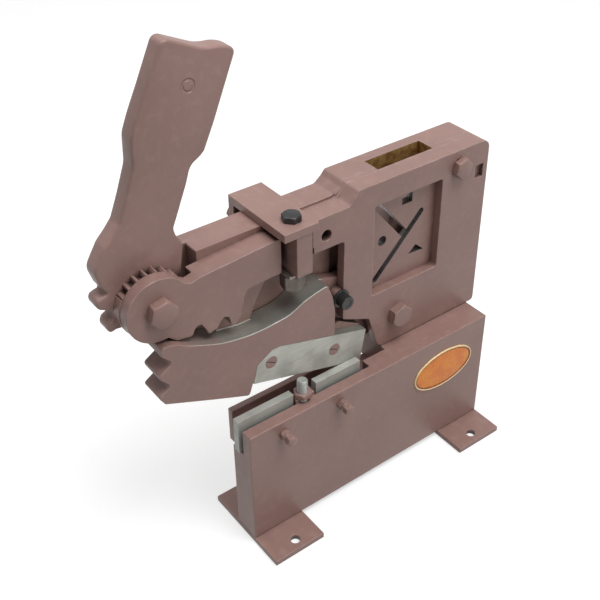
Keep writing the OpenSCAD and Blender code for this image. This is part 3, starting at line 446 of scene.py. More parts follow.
@dataclass(frozen=True)
class FramePaint(CastPaint):
    """The frame's paint. It runs over the joint of the two frames, and leaves the top slot's walls raw and rusty."""

    joint_y: float = 0.045
    slot_x: tuple[float, float] = (0.0445, 0.1355)
    slot_y: tuple[float, float] = (0.0405, 0.0695)
    raw: Colour = shade(186, 152, 96)
    rust: Colour = shade(140, 100, 56)

    def _off(self, graph: Graph) -> bpy.types.NodeSocket:
        """Gives 0 at the joint of the two frames and 1 away from it."""
        off = graph.maths("ABSOLUTE", graph.maths("SUBTRACT", graph.parts(graph.place)["Y"], self.joint_y))
        return graph.span(off, 0.0026, 0.0034)

    def _bed(self, graph: Graph, round_off: bpy.types.NodeSocket) -> Optional[bpy.types.NodeSocket]:
        """Gives the rounded normal, but the surface's own at the joint of the two frames."""
        flat = graph.node("ShaderNodeNewGeometry").outputs["Normal"]
        return graph.mix(self._off(graph), flat, round_off)

    def _lean(self, graph: Graph, lean: bpy.types.NodeSocket) -> bpy.types.NodeSocket:
        """Leaves out the lean that the joint of the two frames gives."""
        return graph.maths("MULTIPLY", graph.span(lean, 0.01, 0.2, 0.0, self.edge_wear_and_highlight), self._off(graph))

    def make(self) -> bpy.types.Material:
        """Builds the paint and the raw walls of the slot."""
        graph = Graph(self.name)
        paint = graph.shader(self.coat(graph))
        place = graph.parts(graph.place)
        along, across = graph.between(place["X"], *self.slot_x), graph.between(place["Y"], *self.slot_y)
        inside = graph.maths("MULTIPLY", along, across)
        inside = graph.maths("MULTIPLY", inside, graph.span(graph.lying()["Z"], 0.4, 0.5, 1.0, 0.0))
        inside = graph.maths("MULTIPLY", inside, graph.span(place["Z"], 0.408, 0.412))
        stain = graph.noise(9, 4)
        tone = graph.mix(graph.span(stain, 0.4, 0.62), self.raw, self.rust)
        normal = graph.bumps(None, (graph.noise(1.6, 3), 0.0002))
        raw = graph.shader((tone, graph.span(stain, 0.35, 0.65, 0.4, 0.6), normal), metal=0.5)
        return graph.finish(graph.node("ShaderNodeMixShader", inside, paint, raw).outputs[0])


@dataclass(frozen=True)
class CutSteel(Finish):
    """Bare steel with the fine lines of its last cut or grind along one direction."""

    colour: Colour = shade(176, 176, 169)
    stain: Colour = shade(138, 137, 130)
    lines: Colour = (0.04, 1.0, 1.0)
    line_mm: float = 0.9
    gloss: float = 0.42
    metal: float = 0.7
    edge: float = 0.0007

    def coat(self, graph: Graph) -> tuple[bpy.types.NodeSocket, ...]:
        """Lays the steel.

        Args:
            graph: The material's nodes.

        Returns:
            The steel's colour, roughness and normal.
        """
        scratch = graph.noise(self.line_mm, 3, self.lines)
        cloud = graph.noise(34, 3)
        tone = graph.mix(graph.span(cloud, 0.42, 0.7, 0.0, 0.7), self.colour, self.stain)
        tone = graph.mix(graph.span(scratch, 0.42, 0.7, 0.0, 0.3), tone, self.stain)
        round_off, lean = graph.edges(self.edge)
        tone = graph.mix(graph.span(lean, 0.02, 0.3, 0.0, 0.6), tone, self.colour)
        rough = graph.span(scratch, 0.3, 0.7, self.gloss - 0.06, self.gloss + 0.12)
        normal = graph.bumps(round_off, (cloud, 0.00012), (scratch, 0.00002))
        return tone, rough, normal

    def make(self) -> bpy.types.Material:
        """Builds the steel."""
        graph = Graph(self.name)
        return graph.finish(graph.shader(self.coat(graph), self.metal))


@dataclass(frozen=True)
class KnifePaint(BrushedPaint):
    """A painted knife plate whose cut edges, inside its holes, are bare dark steel."""

    cut: Colour = shade(92, 86, 84)

    def make(self) -> bpy.types.Material:
        """Builds the painted face and the bare cut edges."""
        graph = Graph(self.name)
        tone, rough, normal = self.coat(graph)
        side = graph.span(graph.maths("ABSOLUTE", graph.lying()["Y"]), 0.4, 0.6, 1.0, 0.0)
        scratch = graph.noise(0.8, 3, (1.0, 0.1, 1.0))
        bare = graph.mix(graph.span(scratch, 0.4, 0.7), self.cut, shade(46, 42, 42))
        return graph.finish(graph.shader((graph.mix(side, tone, bare), rough, normal)))


@dataclass(frozen=True)
class CarrierFinish(Finish):
    """The blade carrier: painted casting with the ground band bare on its hollow upper edge."""

    paint: CastPaint
    steel: CutSteel
    band_start: float = -0.262
    band_full: float = -0.2
    band_end: float = -0.052
    band_floor: float = 0.2895
    fade: float = 0.0005
    upward: tuple[float, float] = (0.2, 0.24)

    def make(self) -> bpy.types.Material:
        """Builds both and lays the steel where the band lies, with ragged paint at its left end."""
        graph = Graph(self.name)
        paint = graph.shader(self.paint.coat(graph))
        steel = graph.shader(self.steel.coat(graph), self.steel.metal)
        place = graph.parts(graph.place)
        ragged = graph.maths("ADD", place["X"], graph.span(graph.noise(12, 4), 0.3, 0.7, -0.02, 0.02))
        begun = graph.span(ragged, self.band_start, self.band_full)
        over = graph.span(place["X"], self.band_end, self.band_end + self.fade, 1.0, 0.0)
        across = graph.maths("MULTIPLY", begun, over)
        upward = graph.span(graph.lying()["Z"], *self.upward)
        above = graph.span(place["Z"], self.band_floor, self.band_floor + self.fade)
        bare = graph.maths("MULTIPLY", graph.maths("MULTIPLY", across, upward), above)
        return graph.finish(graph.node("ShaderNodeMixShader", bare, paint, steel).outputs[0])


@dataclass(frozen=True)
class BadgeEnamel(Finish):
    """A bare oval plate: orange enamel face, dark groove and pale raised rim."""

    face: Colour = shade(246, 146, 4)
    warm: Colour = shade(236, 122, 0)
    groove: Colour = shade(132, 58, 2)
    rim: Colour = shade(255, 226, 172)
    rim_mm: float = 2.1
    groove_mm: float = 4.2

    def make(self) -> bpy.types.Material:
        """Colours the plate by each point's distance from its outer edge, kept in the mesh as inset."""
        graph = Graph(self.name)
        inset = graph.node("ShaderNodeAttribute", attribute_name="inset").outputs["Fac"]
        blot = graph.noise(14, 3)
        tone = graph.mix(graph.span(blot, 0.35, 0.65), self.face, self.warm)
        tone = graph.mix(graph.span(inset, self.groove_mm - 0.6, self.groove_mm + 0.5, 1.0, 0.0), tone, self.groove)
        tone = graph.mix(graph.span(inset, self.rim_mm - 0.2, self.rim_mm + 0.1, 1.0, 0.0), tone, self.rim)
        rough = graph.span(graph.noise(3, 3), 0.35, 0.65, 0.22, 0.36)
        return graph.finish(graph.shader((tone, rough, graph.bumps(None, (graph.noise(4, 2), 0.00005)))))


PAINT = CastPaint("cast_paint", "painted_cast_iron")
FRAME_PAINT = FramePaint("frame_paint", "painted_cast_iron")
LEVER_PAINT = LeverPaint("lever_paint", "painted_cast_iron")
BOLT_PAINT = BrushedPaint(
    "bolt_paint", "painted_bolt", sand_mm=1.6, sand_height=0.00006, wave_height=0.0001, edge=0.0011
)
NUT_PAINT = replace(BOLT_PAINT, name="nut_paint", slot="plain_steel")
KNIFE_PAINT = KnifePaint("knife_paint", "knife_paint", wave_height=0.0002, sand_height=0.0001, edge=0.0008)
BLADE = CutSteel("blade_steel", "ground_steel")
LOW_BLADE = CutSteel(
    "low_blade_steel", "ground_steel", colour=shade(190, 191, 184), stain=shade(156, 156, 149), metal=0.25
)
PLAIN = CutSteel(
    "turned_steel", "plain_steel", colour=shade(178, 179, 176), stain=shade(128, 126, 120), lines=(1.0, 1.0, 0.1)
)
DARK = CutSteel("dark_steel", "dark_steel", colour=shade(150, 146, 143), stain=shade(96, 92, 90), gloss=0.42)
EVEN = (1.0, 1.0, 1.0)
BLACK = CutSteel(
    "black_oxide", "black_steel", colour=shade(66, 66, 66), stain=shade(34, 33, 33), lines=EVEN, metal=0.6, gloss=0.36
)
PAD = CutSteel("pad_steel", "plain_steel", colour=shade(150, 140, 134), stain=shade(110, 98, 92), lines=EVEN)
NUT = CutSteel(
    "nut_steel", "plain_steel", colour=shade(112, 104, 98), stain=shade(76, 68, 64), lines=(1.0, 1.0, 0.2), gloss=0.4
)
BRONZE = CutSteel("bush_bronze", "bronze", colour=shade(196, 152, 84), stain=shade(130, 92, 46), lines=EVEN)
CARRIER = CarrierFinish("carrier_finish", "painted_cast_iron", PAINT, BLADE)
BADGE = BadgeEnamel("badge_enamel", "badge_orange")


# ---------------------------------------------------------------- shapes


def triad(way: Way) -> tuple[np.ndarray, np.ndarray, np.ndarray]:
    """Gives three unit directions at right angles, the last one along the way."""
    along = np.array(way.value)
    side = np.array([1.0, 0.0, 0.0])
    return side, np.cross(along, side), along


def turned(foot: Point, way: Way, radius: np.ndarray, height: np.ndarray, angle: np.ndarray) -> np.ndarray:
    """Places a turned surface.

    Each point is the foot, plus the height along the way, plus the radius times the cosine and
    the sine of the angle along the two directions across it.

    Args:
        foot: Where the axis starts, in millimetres.
        way: The way the axis points.
        radius: Radii in millimetres, one row per ring.
        height: Heights in millimetres, of the same shape.
        angle: Angles in radians, one per column.

    Returns:
        Points in metres, rings by columns by 3.
    """
    side, over, along = triad(way)
    across = radius[..., None] * (np.cos(angle)[:, None] * side + np.sin(angle)[:, None] * over)
    return (np.array(foot) + across + height[..., None] * along) * MM


def shell(name: str, rings: np.ndarray) -> bpy.types.Object:
    """Makes a closed mesh from rings of points.

    Each ring is joined to the next with four-sided faces, and one flat face closes each end.
    The faces are turned outwards by the sign of the volume that they enclose.

    Args:
        name: The piece's name.
        rings: Points in metres, rings by columns by 3.

    Returns:
        The new object, linked to the scene.
    """
    rows, columns = rings.shape[:2]
    index = np.arange(rows * columns).reshape(rows, columns)
    beside = np.roll(index, -1, axis=1)
    quads = np.stack([index[:-1], beside[:-1], beside[1:], index[1:]], axis=-1).reshape(-1, 4)
    mesh = bpy.data.meshes.new(name)
    points = rings.reshape(-1, 3)
    mesh.from_pydata(points.tolist(), [], quads.tolist() + [index[0][::-1].tolist(), index[-1].tolist()])
    a, b, c, d = (points[quads[:, k]] - points.mean(axis=0) for k in range(4))
    if (np.einsum("ij,ij->i", a, np.cross(b, c)) + np.einsum("ij,ij->i", a, np.cross(c, d))).sum() < 0:
        mesh.flip_normals()
    mesh.polygons.foreach_set("use_smooth", np.ones(len(mesh.polygons), dtype=bool))
    mesh.set_sharp_from_angle(angle=math.radians(40))
    mesh.update()
    piece = bpy.data.objects.new(name, mesh)
    bpy.context.scene.collection.objects.link(piece)
    return piece


@dataclass(frozen=True)
class Thread:
    """A screw thread over a plain shank, or a whole threaded rod."""

    name: str
    foot: Point
    way: Way
    length: float
    radius: float
    pitch: float
    depth: float = 1.0
    chamfer: float = 1.5
    columns: int = 48
    rings_a_turn: int = 8

    def build(self) -> bpy.types.Object:
        """Makes the thread.

        The radius is the crest's, less the depth times a zigzag of height over pitch less the
        part of a turn, so that the zigzag climbs one pitch a turn. Near both ends it is held
        down by a cone, which is the chamfer.

        Returns:
            The thread as a closed rod.
        """
        rings = int(self.length / self.pitch * self.rings_a_turn) + 2
        angle = np.linspace(0, 2 * np.pi, self.columns, endpoint=False)
        height = np.repeat(np.linspace(0, self.length, rings)[:, None], self.columns, axis=1)
        phase = np.mod(height / self.pitch - angle / (2 * np.pi), 1.0)
        radius = self.radius - self.depth * np.clip(np.abs(2 * phase - 1) * 1.3 - 0.15, 0, 1)
        cone = self.radius - self.chamfer + np.minimum(height, self.length - height)
        return shell(self.name, turned(self.foot, self.way, np.minimum(radius, cone), height, angle))


@dataclass(frozen=True)
class Knurl:
    """The knurled sleeve round a socket screw's head."""

    name: str
    foot: Point
    way: Way
    length: float
    radius: float
    ridges: int = 36
    depth: float = 0.35
    round_off: float = 1.2

    def build(self) -> bpy.types.Object:
        """Makes the sleeve.

        The outer radius swings by the depth with the cosine of the ridges times the angle. It
        fades to a plain rounding at both ends, and the inner wall is a plain cylinder just
        inside the screw's head.

        Returns:
            The sleeve as a closed ring.
        """
        columns = self.ridges * 6
        angle = np.linspace(0, 2 * np.pi, columns, endpoint=False)
        share = np.linspace(0, 1, 22)[:, None]
        height = np.repeat(share * self.length, columns, axis=1)
        near = np.minimum(height, self.length - height)
        fade = np.clip(near / self.round_off, 0, 1)
        drop = self.round_off * 0.35 * (1 - np.sqrt(1 - (1 - fade) ** 2))
        outer = self.radius - drop - self.depth * fade * (0.5 - 0.5 * np.cos(self.ridges * angle))
        inner = np.full_like(outer, self.radius - self.depth - 0.9)
        radius = np.concatenate([inner[:1], outer, inner[-1:]])
        height = np.concatenate([height[:1], height, height[-1:]])
        return shell(self.name, turned(self.foot, self.way, radius, height, angle))


def rounded(corners: np.ndarray, least: float, steps: int = 6) -> np.ndarray:
    """Rounds the corners of a closed outline.

    At each corner an arc touches both sides. Its reach along them is radius / tan(half angle),
    held to 0.48 of the shorter side.

    Args:
        corners: Corners in millimetres with their radii, n by 3.
        least: The smallest radius that any corner gets.
        steps: How many pieces each arc has.

    Returns:
        The rounded outline, n times (steps + 1) by 2.
    """
    at, radius = corners[:, :2], np.maximum(corners[:, 2], least)
    before, after = np.roll(at, 1, axis=0) - at, np.roll(at, -1, axis=0) - at
    size_b, size_a = np.linalg.norm(before, axis=1), np.linalg.norm(after, axis=1)
    u, w = before / size_b[:, None], after / size_a[:, None]
    half = np.arccos(np.clip((u * w).sum(axis=1), -0.99999, 0.99999)) / 2
    reach = np.minimum(radius / np.tan(half), 0.48 * np.minimum(size_b, size_a))
    radius = reach * np.tan(half)
    lean = (u + w) / np.linalg.norm(u + w, axis=1)[:, None]
    middle = at + lean * (radius / np.sin(half))[:, None]
    start, end = at + u * reach[:, None] - middle, at + w * reach[:, None] - middle
    first = np.arctan2(start[:, 1], start[:, 0])
    turn = np.mod(np.arctan2(end[:, 1], end[:, 0]) - first + np.pi, 2 * np.pi) - np.pi
    angle = first[:, None] + turn[:, None] * np.linspace(0, 1, steps + 1)
    arc = middle[:, None] + radius[:, None, None] * np.stack([np.cos(angle), np.sin(angle)], axis=-1)
    return arc.reshape(-1, 2)


def inward(line: np.ndarray) -> np.ndarray:
    """Gives each point of a closed outline its step inwards, by which all sides move in by one.

    The step is the mean of both sides' normals over the cosine of half the angle between them.
    """
    side = np.roll(line, -1, axis=0) - line
    side = side / np.linalg.norm(side, axis=1)[:, None]
    area = (line[:, 0] * np.roll(line[:, 1], -1) - line[:, 1] * np.roll(line[:, 0], -1)).sum()
    normal = np.stack([-side[:, 1], side[:, 0]], axis=-1) * np.sign(area)
    both = normal + np.roll(normal, 1, axis=0)
    return both * 2 / np.maximum((both**2).sum(axis=1), 1.2)[:, None]


@dataclass(frozen=True)
class Plate:
    """A cast plate: an outline with rounded corners, swept along one way with rounded edges."""

    name: str
    outline: tuple[Point, ...]
    low: float
    high: float
    edge: float = 2.0
    way: Way = Way.BACK

    def line(self) -> np.ndarray:
        """Gives the outline, its corners rounded by at least a little more than its edges."""
        return rounded(np.array(self.outline), self.edge + 0.4)

    def build(self) -> bpy.types.Object:
        """Makes the plate.

        Its rings are the outline moved in by edge (1 - sin t) at a depth of edge (1 - cos t)
        under each face, for t from nothing to a quarter turn.

        Returns:
            The closed plate.
        """
        line = self.line()
        turn = np.linspace(0, np.pi / 2, 5)
        moved, sunk = self.edge * (1 - np.sin(turn)), self.edge * (1 - np.cos(turn))
        moved = np.concatenate([moved, moved[::-1]])
        depth = np.concatenate([self.low + sunk, self.high - sunk[::-1]])
        flat = line + moved[:, None, None] * inward(line)
        side, over, along = triad(self.way)
        rings = flat[..., :1] * side + flat[..., 1:] * np.abs(over) + depth[:, None, None] * np.abs(along)
        return shell(self.name, rings * MM)


@dataclass(frozen=True)
class Gear(Plate):
    """A spur gear with involute teeth and a round part without any."""

    centre: tuple[float, float] = (0.0, 0.0)
    teeth: int = 21
    module: float = 3.5
    pressure: float = 25.0
    play: float = 0.35
    start: float = -25.3
    blank: tuple[float, float] = (150.0, 228.0)
    foot_spread: float = 1.04

    def line(self) -> np.ndarray:
        """Gives the gear's outline.

        Half a tooth's angle at radius r is 90 / teeth, less the play, plus inv(base, pitch) -
        inv(base, r), where inv(base, r) = sqrt((r / base)^2 - 1) - acos(base / r). In the round
        part every radius is the tip's. At the root the angle is a little wider, so that no two
        points meet there.

        Returns:
            The outline, teeth times 12 by 2, in millimetres.
        """
        pitch = self.module * self.teeth / 2
        base = pitch * math.cos(math.radians(self.pressure))
        root, tip = pitch - 1.25 * self.module, pitch + self.module
        radius = np.linspace(max(root, base), tip, 5)
        grow = [
            np.sqrt(np.maximum((r / base) ** 2 - 1, 0)) - np.arccos(np.minimum(base / r, 1)) for r in (pitch, radius)
        ]
        half = math.pi / 2 / self.teeth - self.play / pitch / 4 + grow[0] - grow[1]
        radius = np.concatenate([[root], radius, radius[::-1], [root]])
        foot = self.foot_spread * half[:1]
        half = np.concatenate([foot, half, -half[::-1], -foot])
        middle = math.radians(self.start) - np.arange(self.teeth) * 2 * np.pi / self.teeth
        angle = middle[:, None] + half
        turn = np.degrees(np.mod(angle, 2 * np.pi))
        radius = np.where((turn > self.blank[0]) & (turn < self.blank[1]), tip, radius)
        line = np.array(self.centre) + radius[..., None] * np.stack([np.cos(angle), np.sin(angle)], axis=-1)
        return line.reshape(-1, 2)


@dataclass(frozen=True)
class Hexagon:
    """A bolt's head or a nut: a hexagon with chamfered corners, with a shank below it if it has one."""

    name: str
    seat: Point
    way: Way
    flats: float
    height: float
    turn: float = 0.0
    both: bool = False
    shank: float = 0.0
    reach: float = 0.0
    columns: int = 96
    face: float = 0.95

    def build(self) -> bpy.types.Object:
        """Makes the hexagon.

        The radius at an angle is half the width across flats over the cosine of the angle to
        the flat's middle. A cone of 30 degrees cuts the corners off at the outer face, and at
        the seat too where both is set.

        Returns:
            The closed piece.
        """
        angle = np.linspace(0, 2 * np.pi, self.columns, endpoint=False)
        half = self.flats / 2
        wall = half / np.cos(np.mod(angle - math.radians(self.turn), np.pi / 3) - np.pi / 6)
        near = half * np.array([0, 0.03, 0.06, 0.09, 0.13])
        height = np.concatenate([self.height - near, near[::-1]])[:, None] + 0 * angle
        slope = math.tan(math.radians(60))
        radius = np.minimum(wall, self.face * half + (self.height - height) * slope)
        if self.both:
            radius = np.minimum(radius, self.face * half + height * slope)
        if self.shank > 0:
            height = np.concatenate([height, [0 * angle, 0 * angle - self.reach]])
            radius = np.concatenate([radius, [0 * angle + self.shank] * 2])
        return shell(self.name, turned(self.seat, self.way, radius, height, angle))


def rounded_copy(node: bpy.types.Object, name: str, radius: float, steps: int = 3) -> bpy.types.Object:
    """Copies a CAD casting and rounds its sharp edges.

    The copy's loose triangles are merged, its flat faces made whole, every edge sharper than 32
    degrees rounded, and its shading weighted towards the large faces.

    Args:
        node: The CAD node, which is left alone.
        name: The copy's name.
        radius: The rounding in millimetres.
        steps: How many faces round each edge.

    Returns:
        The copy, which stands for the node.
    """
    mesh = node.data.copy()
    mesh.name = name
    for loose in ("custom_normal", "sharp_edge", "sharp_face"):
        if loose in mesh.attributes:
            mesh.attributes.remove(mesh.attributes[loose])
    mesh.polygons.foreach_set("use_smooth", np.ones(len(mesh.polygons), dtype=bool))
    copy = bpy.data.objects.new(name, mesh)
    bpy.context.scene.collection.objects.link(copy)
    weld = copy.modifiers.new("merge", "WELD")
    weld.merge_threshold = 0.00001
    flat = copy.modifiers.new("whole_faces", "DECIMATE")
    flat.decimate_type, flat.angle_limit = "DISSOLVE", math.radians(0.6)
    bevel = copy.modifiers.new("round_edges", "BEVEL")
    bevel.width, bevel.segments = radius * MM, steps
    bevel.limit_method, bevel.angle_limit = "ANGLE", math.radians(32)
    bevel.use_clamp_overlap, bevel.loop_slide = False, False
    shading = copy.modifiers.new("shading", "WEIGHTED_NORMAL")
    shading.weight, shading.keep_sharp = 80, False
    return copy


# ---------------------------------------------------------------- sub-assemblies


@dataclass
class Wardrobe:
    """Makes each finish once and puts it on what wears it."""

    nodes: dict[str, bpy.types.Object]
    made: dict[str, bpy.types.Material] = field(default_factory=dict)

    def material(self, finish: Finish) -> bpy.types.Material:
        """Returns the finish's material, made at its first use."""
        if finish.name not in self.made:
            self.made[finish.name] = finish.make()
        return self.made[finish.name]

    def dress(self, name: str, finish: Finish) -> None:
        """Puts the finish on every slot of a CAD node."""
        for slot in self.nodes[name].material_slots:
            slot.material = self.material(finish)
        LOG.info("%s wears %s", name, finish.name)

    def fit(self, piece: bpy.types.Object, finish: Finish, body: Body, *stands_for: str) -> None:
        """Dresses a new piece, sets it on its body and lets it stand for CAD nodes.

        Args:
            piece: The new piece.
            finish: Its finish.
            body: The body that it rides on.
            stands_for: The CAD nodes that it hides, if any.
        """
        piece.data.materials.clear()
        piece.data.materials.append(self.material(finish))
        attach(piece, body.value)
        if stands_for:
            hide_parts(*stands_for)
        LOG.info("%s wears %s on %s, %d faces", piece.name, finish.name, body.value, len(piece.data.polygons))

    def round_off(self, name: str, radius: float, finish: Finish, body: Body) -> None:
        """Lets a copy with rounded edges stand for a CAD casting.

        Args:
            name: The CAD node.
            radius: The rounding in millimetres.
            finish: The copy's finish.
            body: The body that it rides on.
        """
        copy = rounded_copy(self.nodes[name], f"{name}_rounded", radius)
        self.fit(copy, finish, body, name)


@dataclass
class SubAssembly:
    """A group of nodes that is dressed together: its castings by rounding, and its plain pieces by finish."""

    wardrobe: Wardrobe
    body: Body = Body.FRAME
    castings: dict[str, tuple[float, Finish]] = field(default_factory=dict)
    plain: dict[str, Finish] = field(default_factory=dict)

    def build(self) -> None:
        """Rounds the castings, dresses the plain nodes and adds the group's own pieces."""
        for name, (radius, finish) in self.castings.items():
            self.wardrobe.round_off(name, radius, finish, self.body)
        for name, finish in self.plain.items():
            self.wardrobe.dress(name, finish)
        self.details()

    def details(self) -> None:
        """Adds the pieces that only this group has, which most groups have none of."""

    def add(self, *pieces: tuple[bpy.types.Object, Finish]) -> None:
        """Fits new pieces on this group's body."""
        for piece, finish in pieces:
            self.wardrobe.fit(piece, finish, self.body)


@dataclass
class Base(SubAssembly):
    """The base casting on its two feet, with the bare oval plate."""

    castings: dict[str, tuple[float, Finish]] = field(
        default_factory=lambda: {"base_casting": (1.4, PAINT), "left_foot": (0.9, PAINT), "right_foot": (0.9, PAINT)}
    )
    plate_centre: tuple[float, float] = (122.0, 131.155)
    plate_half: tuple[float, float] = (53.5, 30.5)
    wall_y: float = -22.0
    plate_height: float = 2.0
    dome: float = 0.6
    rim: tuple[tuple[float, float], ...] = (
        (0, 0), (0, 1.3), (0.15, 1.7), (0.45, 1.93), (0.9, 2.0), (1.4, 1.97), (1.8, 1.8), (2.1, 1.45), (2.35, 1.0),
        (2.8, 0.72), (3.3, 0.7), (3.8, 0.86), (4.2, 1.0)
    )

    def details(self) -> None:
        """Adds the oval plate."""
        self.wardrobe.fit(self._plate(), BADGE, self.body, "badge_plate")

    def _plate(self) -> bpy.types.Object:
        """Makes the oval plate.

        Rings of ellipses: both half axes shrink by the inset, and the height over the wall
        climbs the outer edge, rounds over the raised rim, drops into the groove and swells to
        a low dome, whose rings shrink in proportion to their middle.

        Returns:
            The plate, with each point's inset in millimetres kept as an attribute.
        """
        profile = np.array(self.rim)
        fraction = np.linspace(1, 0.02, 14)[1:]
        inner = profile[-1, 0]
        size = np.array(self.plate_half)
        halves = np.concatenate([size - profile[:, :1], (size - inner) * fraction[:, None]])
        height = np.concatenate([profile[:, 1], profile[-1, 1] + self.dome * (1 - fraction**2)]) * self.plate_height / 2
        inset = np.concatenate([profile[:, 0], inner + (size[1] - inner) * (1 - fraction)])
        angle = np.linspace(0, 2 * np.pi, 96, endpoint=False)
        x = self.plate_centre[0] + halves[:, :1] * np.cos(angle)
        z = self.plate_centre[1] + halves[:, 1:] * np.sin(angle)
        y = np.repeat((self.wall_y - height)[:, None], len(angle), axis=1)
        plate = shell("oval_plate", np.stack([x, y, z], axis=-1) * MM)
        kept = plate.data.attributes.new("inset", "FLOAT", "POINT")
        kept.data.foreach_set("value", np.repeat(inset, len(angle)).astype(np.float32))
        return plate


@dataclass
class BladeSeat(SubAssembly):
    """The lower blade with its screws and the stop stud."""

    plain: dict[str, Finish] = field(default_factory=lambda: {"lower_blade": LOW_BLADE})
    stud_foot: Point = (-106.0, -1.7, 164.3)
    stud_length: float = 53.0
    stud_radius: float = 7.0
    stud_nut: tuple[float, float] = (21.0, 7.5)
    boss: tuple[Point, ...] = ((-118.2, -5.0, 0.0), (-89.2, -5.0, 0.0), (-89.2, 8.7, 0.0), (-118.2, 8.7, 0.0))
    boss_z: tuple[float, float] = (180.0, 191.3)
    screw_x: tuple[float, float] = (-150.0, -60.0)
    screw_z: float = 167.0
    screw_radius: float = 4.5
    screw_flats: float = 13.0
    head_height: float = 8.0
    wall_y: float = -22.0
    nut_height: float = 7.0
    gap: float = 4.5
    stands_out: float = 0.25
    thread: tuple[float, float, float] = (1.25, 0.7, 0.2)

    def details(self) -> None:
        """Adds the threaded stud with its nut and boss, and the set screws with the thread that shows."""
        stud = Thread("threaded_stud", self.stud_foot, Way.UP, self.stud_length, self.stud_radius, 2.0)
        self.wardrobe.fit(stud.build(), PLAIN, self.body, "stop_stud")
        seat = (self.stud_foot[0], self.stud_foot[1], self.boss_z[1])
        nut = Hexagon("stud_nut", seat, Way.UP, *self.stud_nut, both=True)
        self.wardrobe.fit(nut.build(), NUT_PAINT, self.body, "stop_stud_nut")
        self.add((Plate("stud_boss", self.boss, *self.boss_z, 1.2, Way.UP).build(), PAINT))
        for number, x in enumerate(self.screw_x, 1):
            foot = (x, self.wall_y - self.nut_height + 1.0, self.screw_z)
            size = (self.gap + 2, self.screw_radius + self.stands_out, *self.thread)
            self.add((Thread(f"set_screw_thread_{number}", foot, Way.FRONT, *size).build(), BOLT_PAINT))
            seat = (x, self.wall_y - self.nut_height - self.gap, self.screw_z)
            size = (self.screw_flats, self.head_height, 10.0 * number)
            head = Hexagon(f"set_screw_{number}", seat, Way.FRONT, *size, both=True)
            seat = (x, self.wall_y, self.screw_z)
            nut = Hexagon(f"locknut_{number}", seat, Way.FRONT, self.screw_flats, self.nut_height, 25.0 * number, True)
            self.wardrobe.fit(head.build(), BOLT_PAINT, self.body, "blade_set_screws")
            self.wardrobe.fit(nut.build(), BOLT_PAINT, self.body, "blade_locknuts")


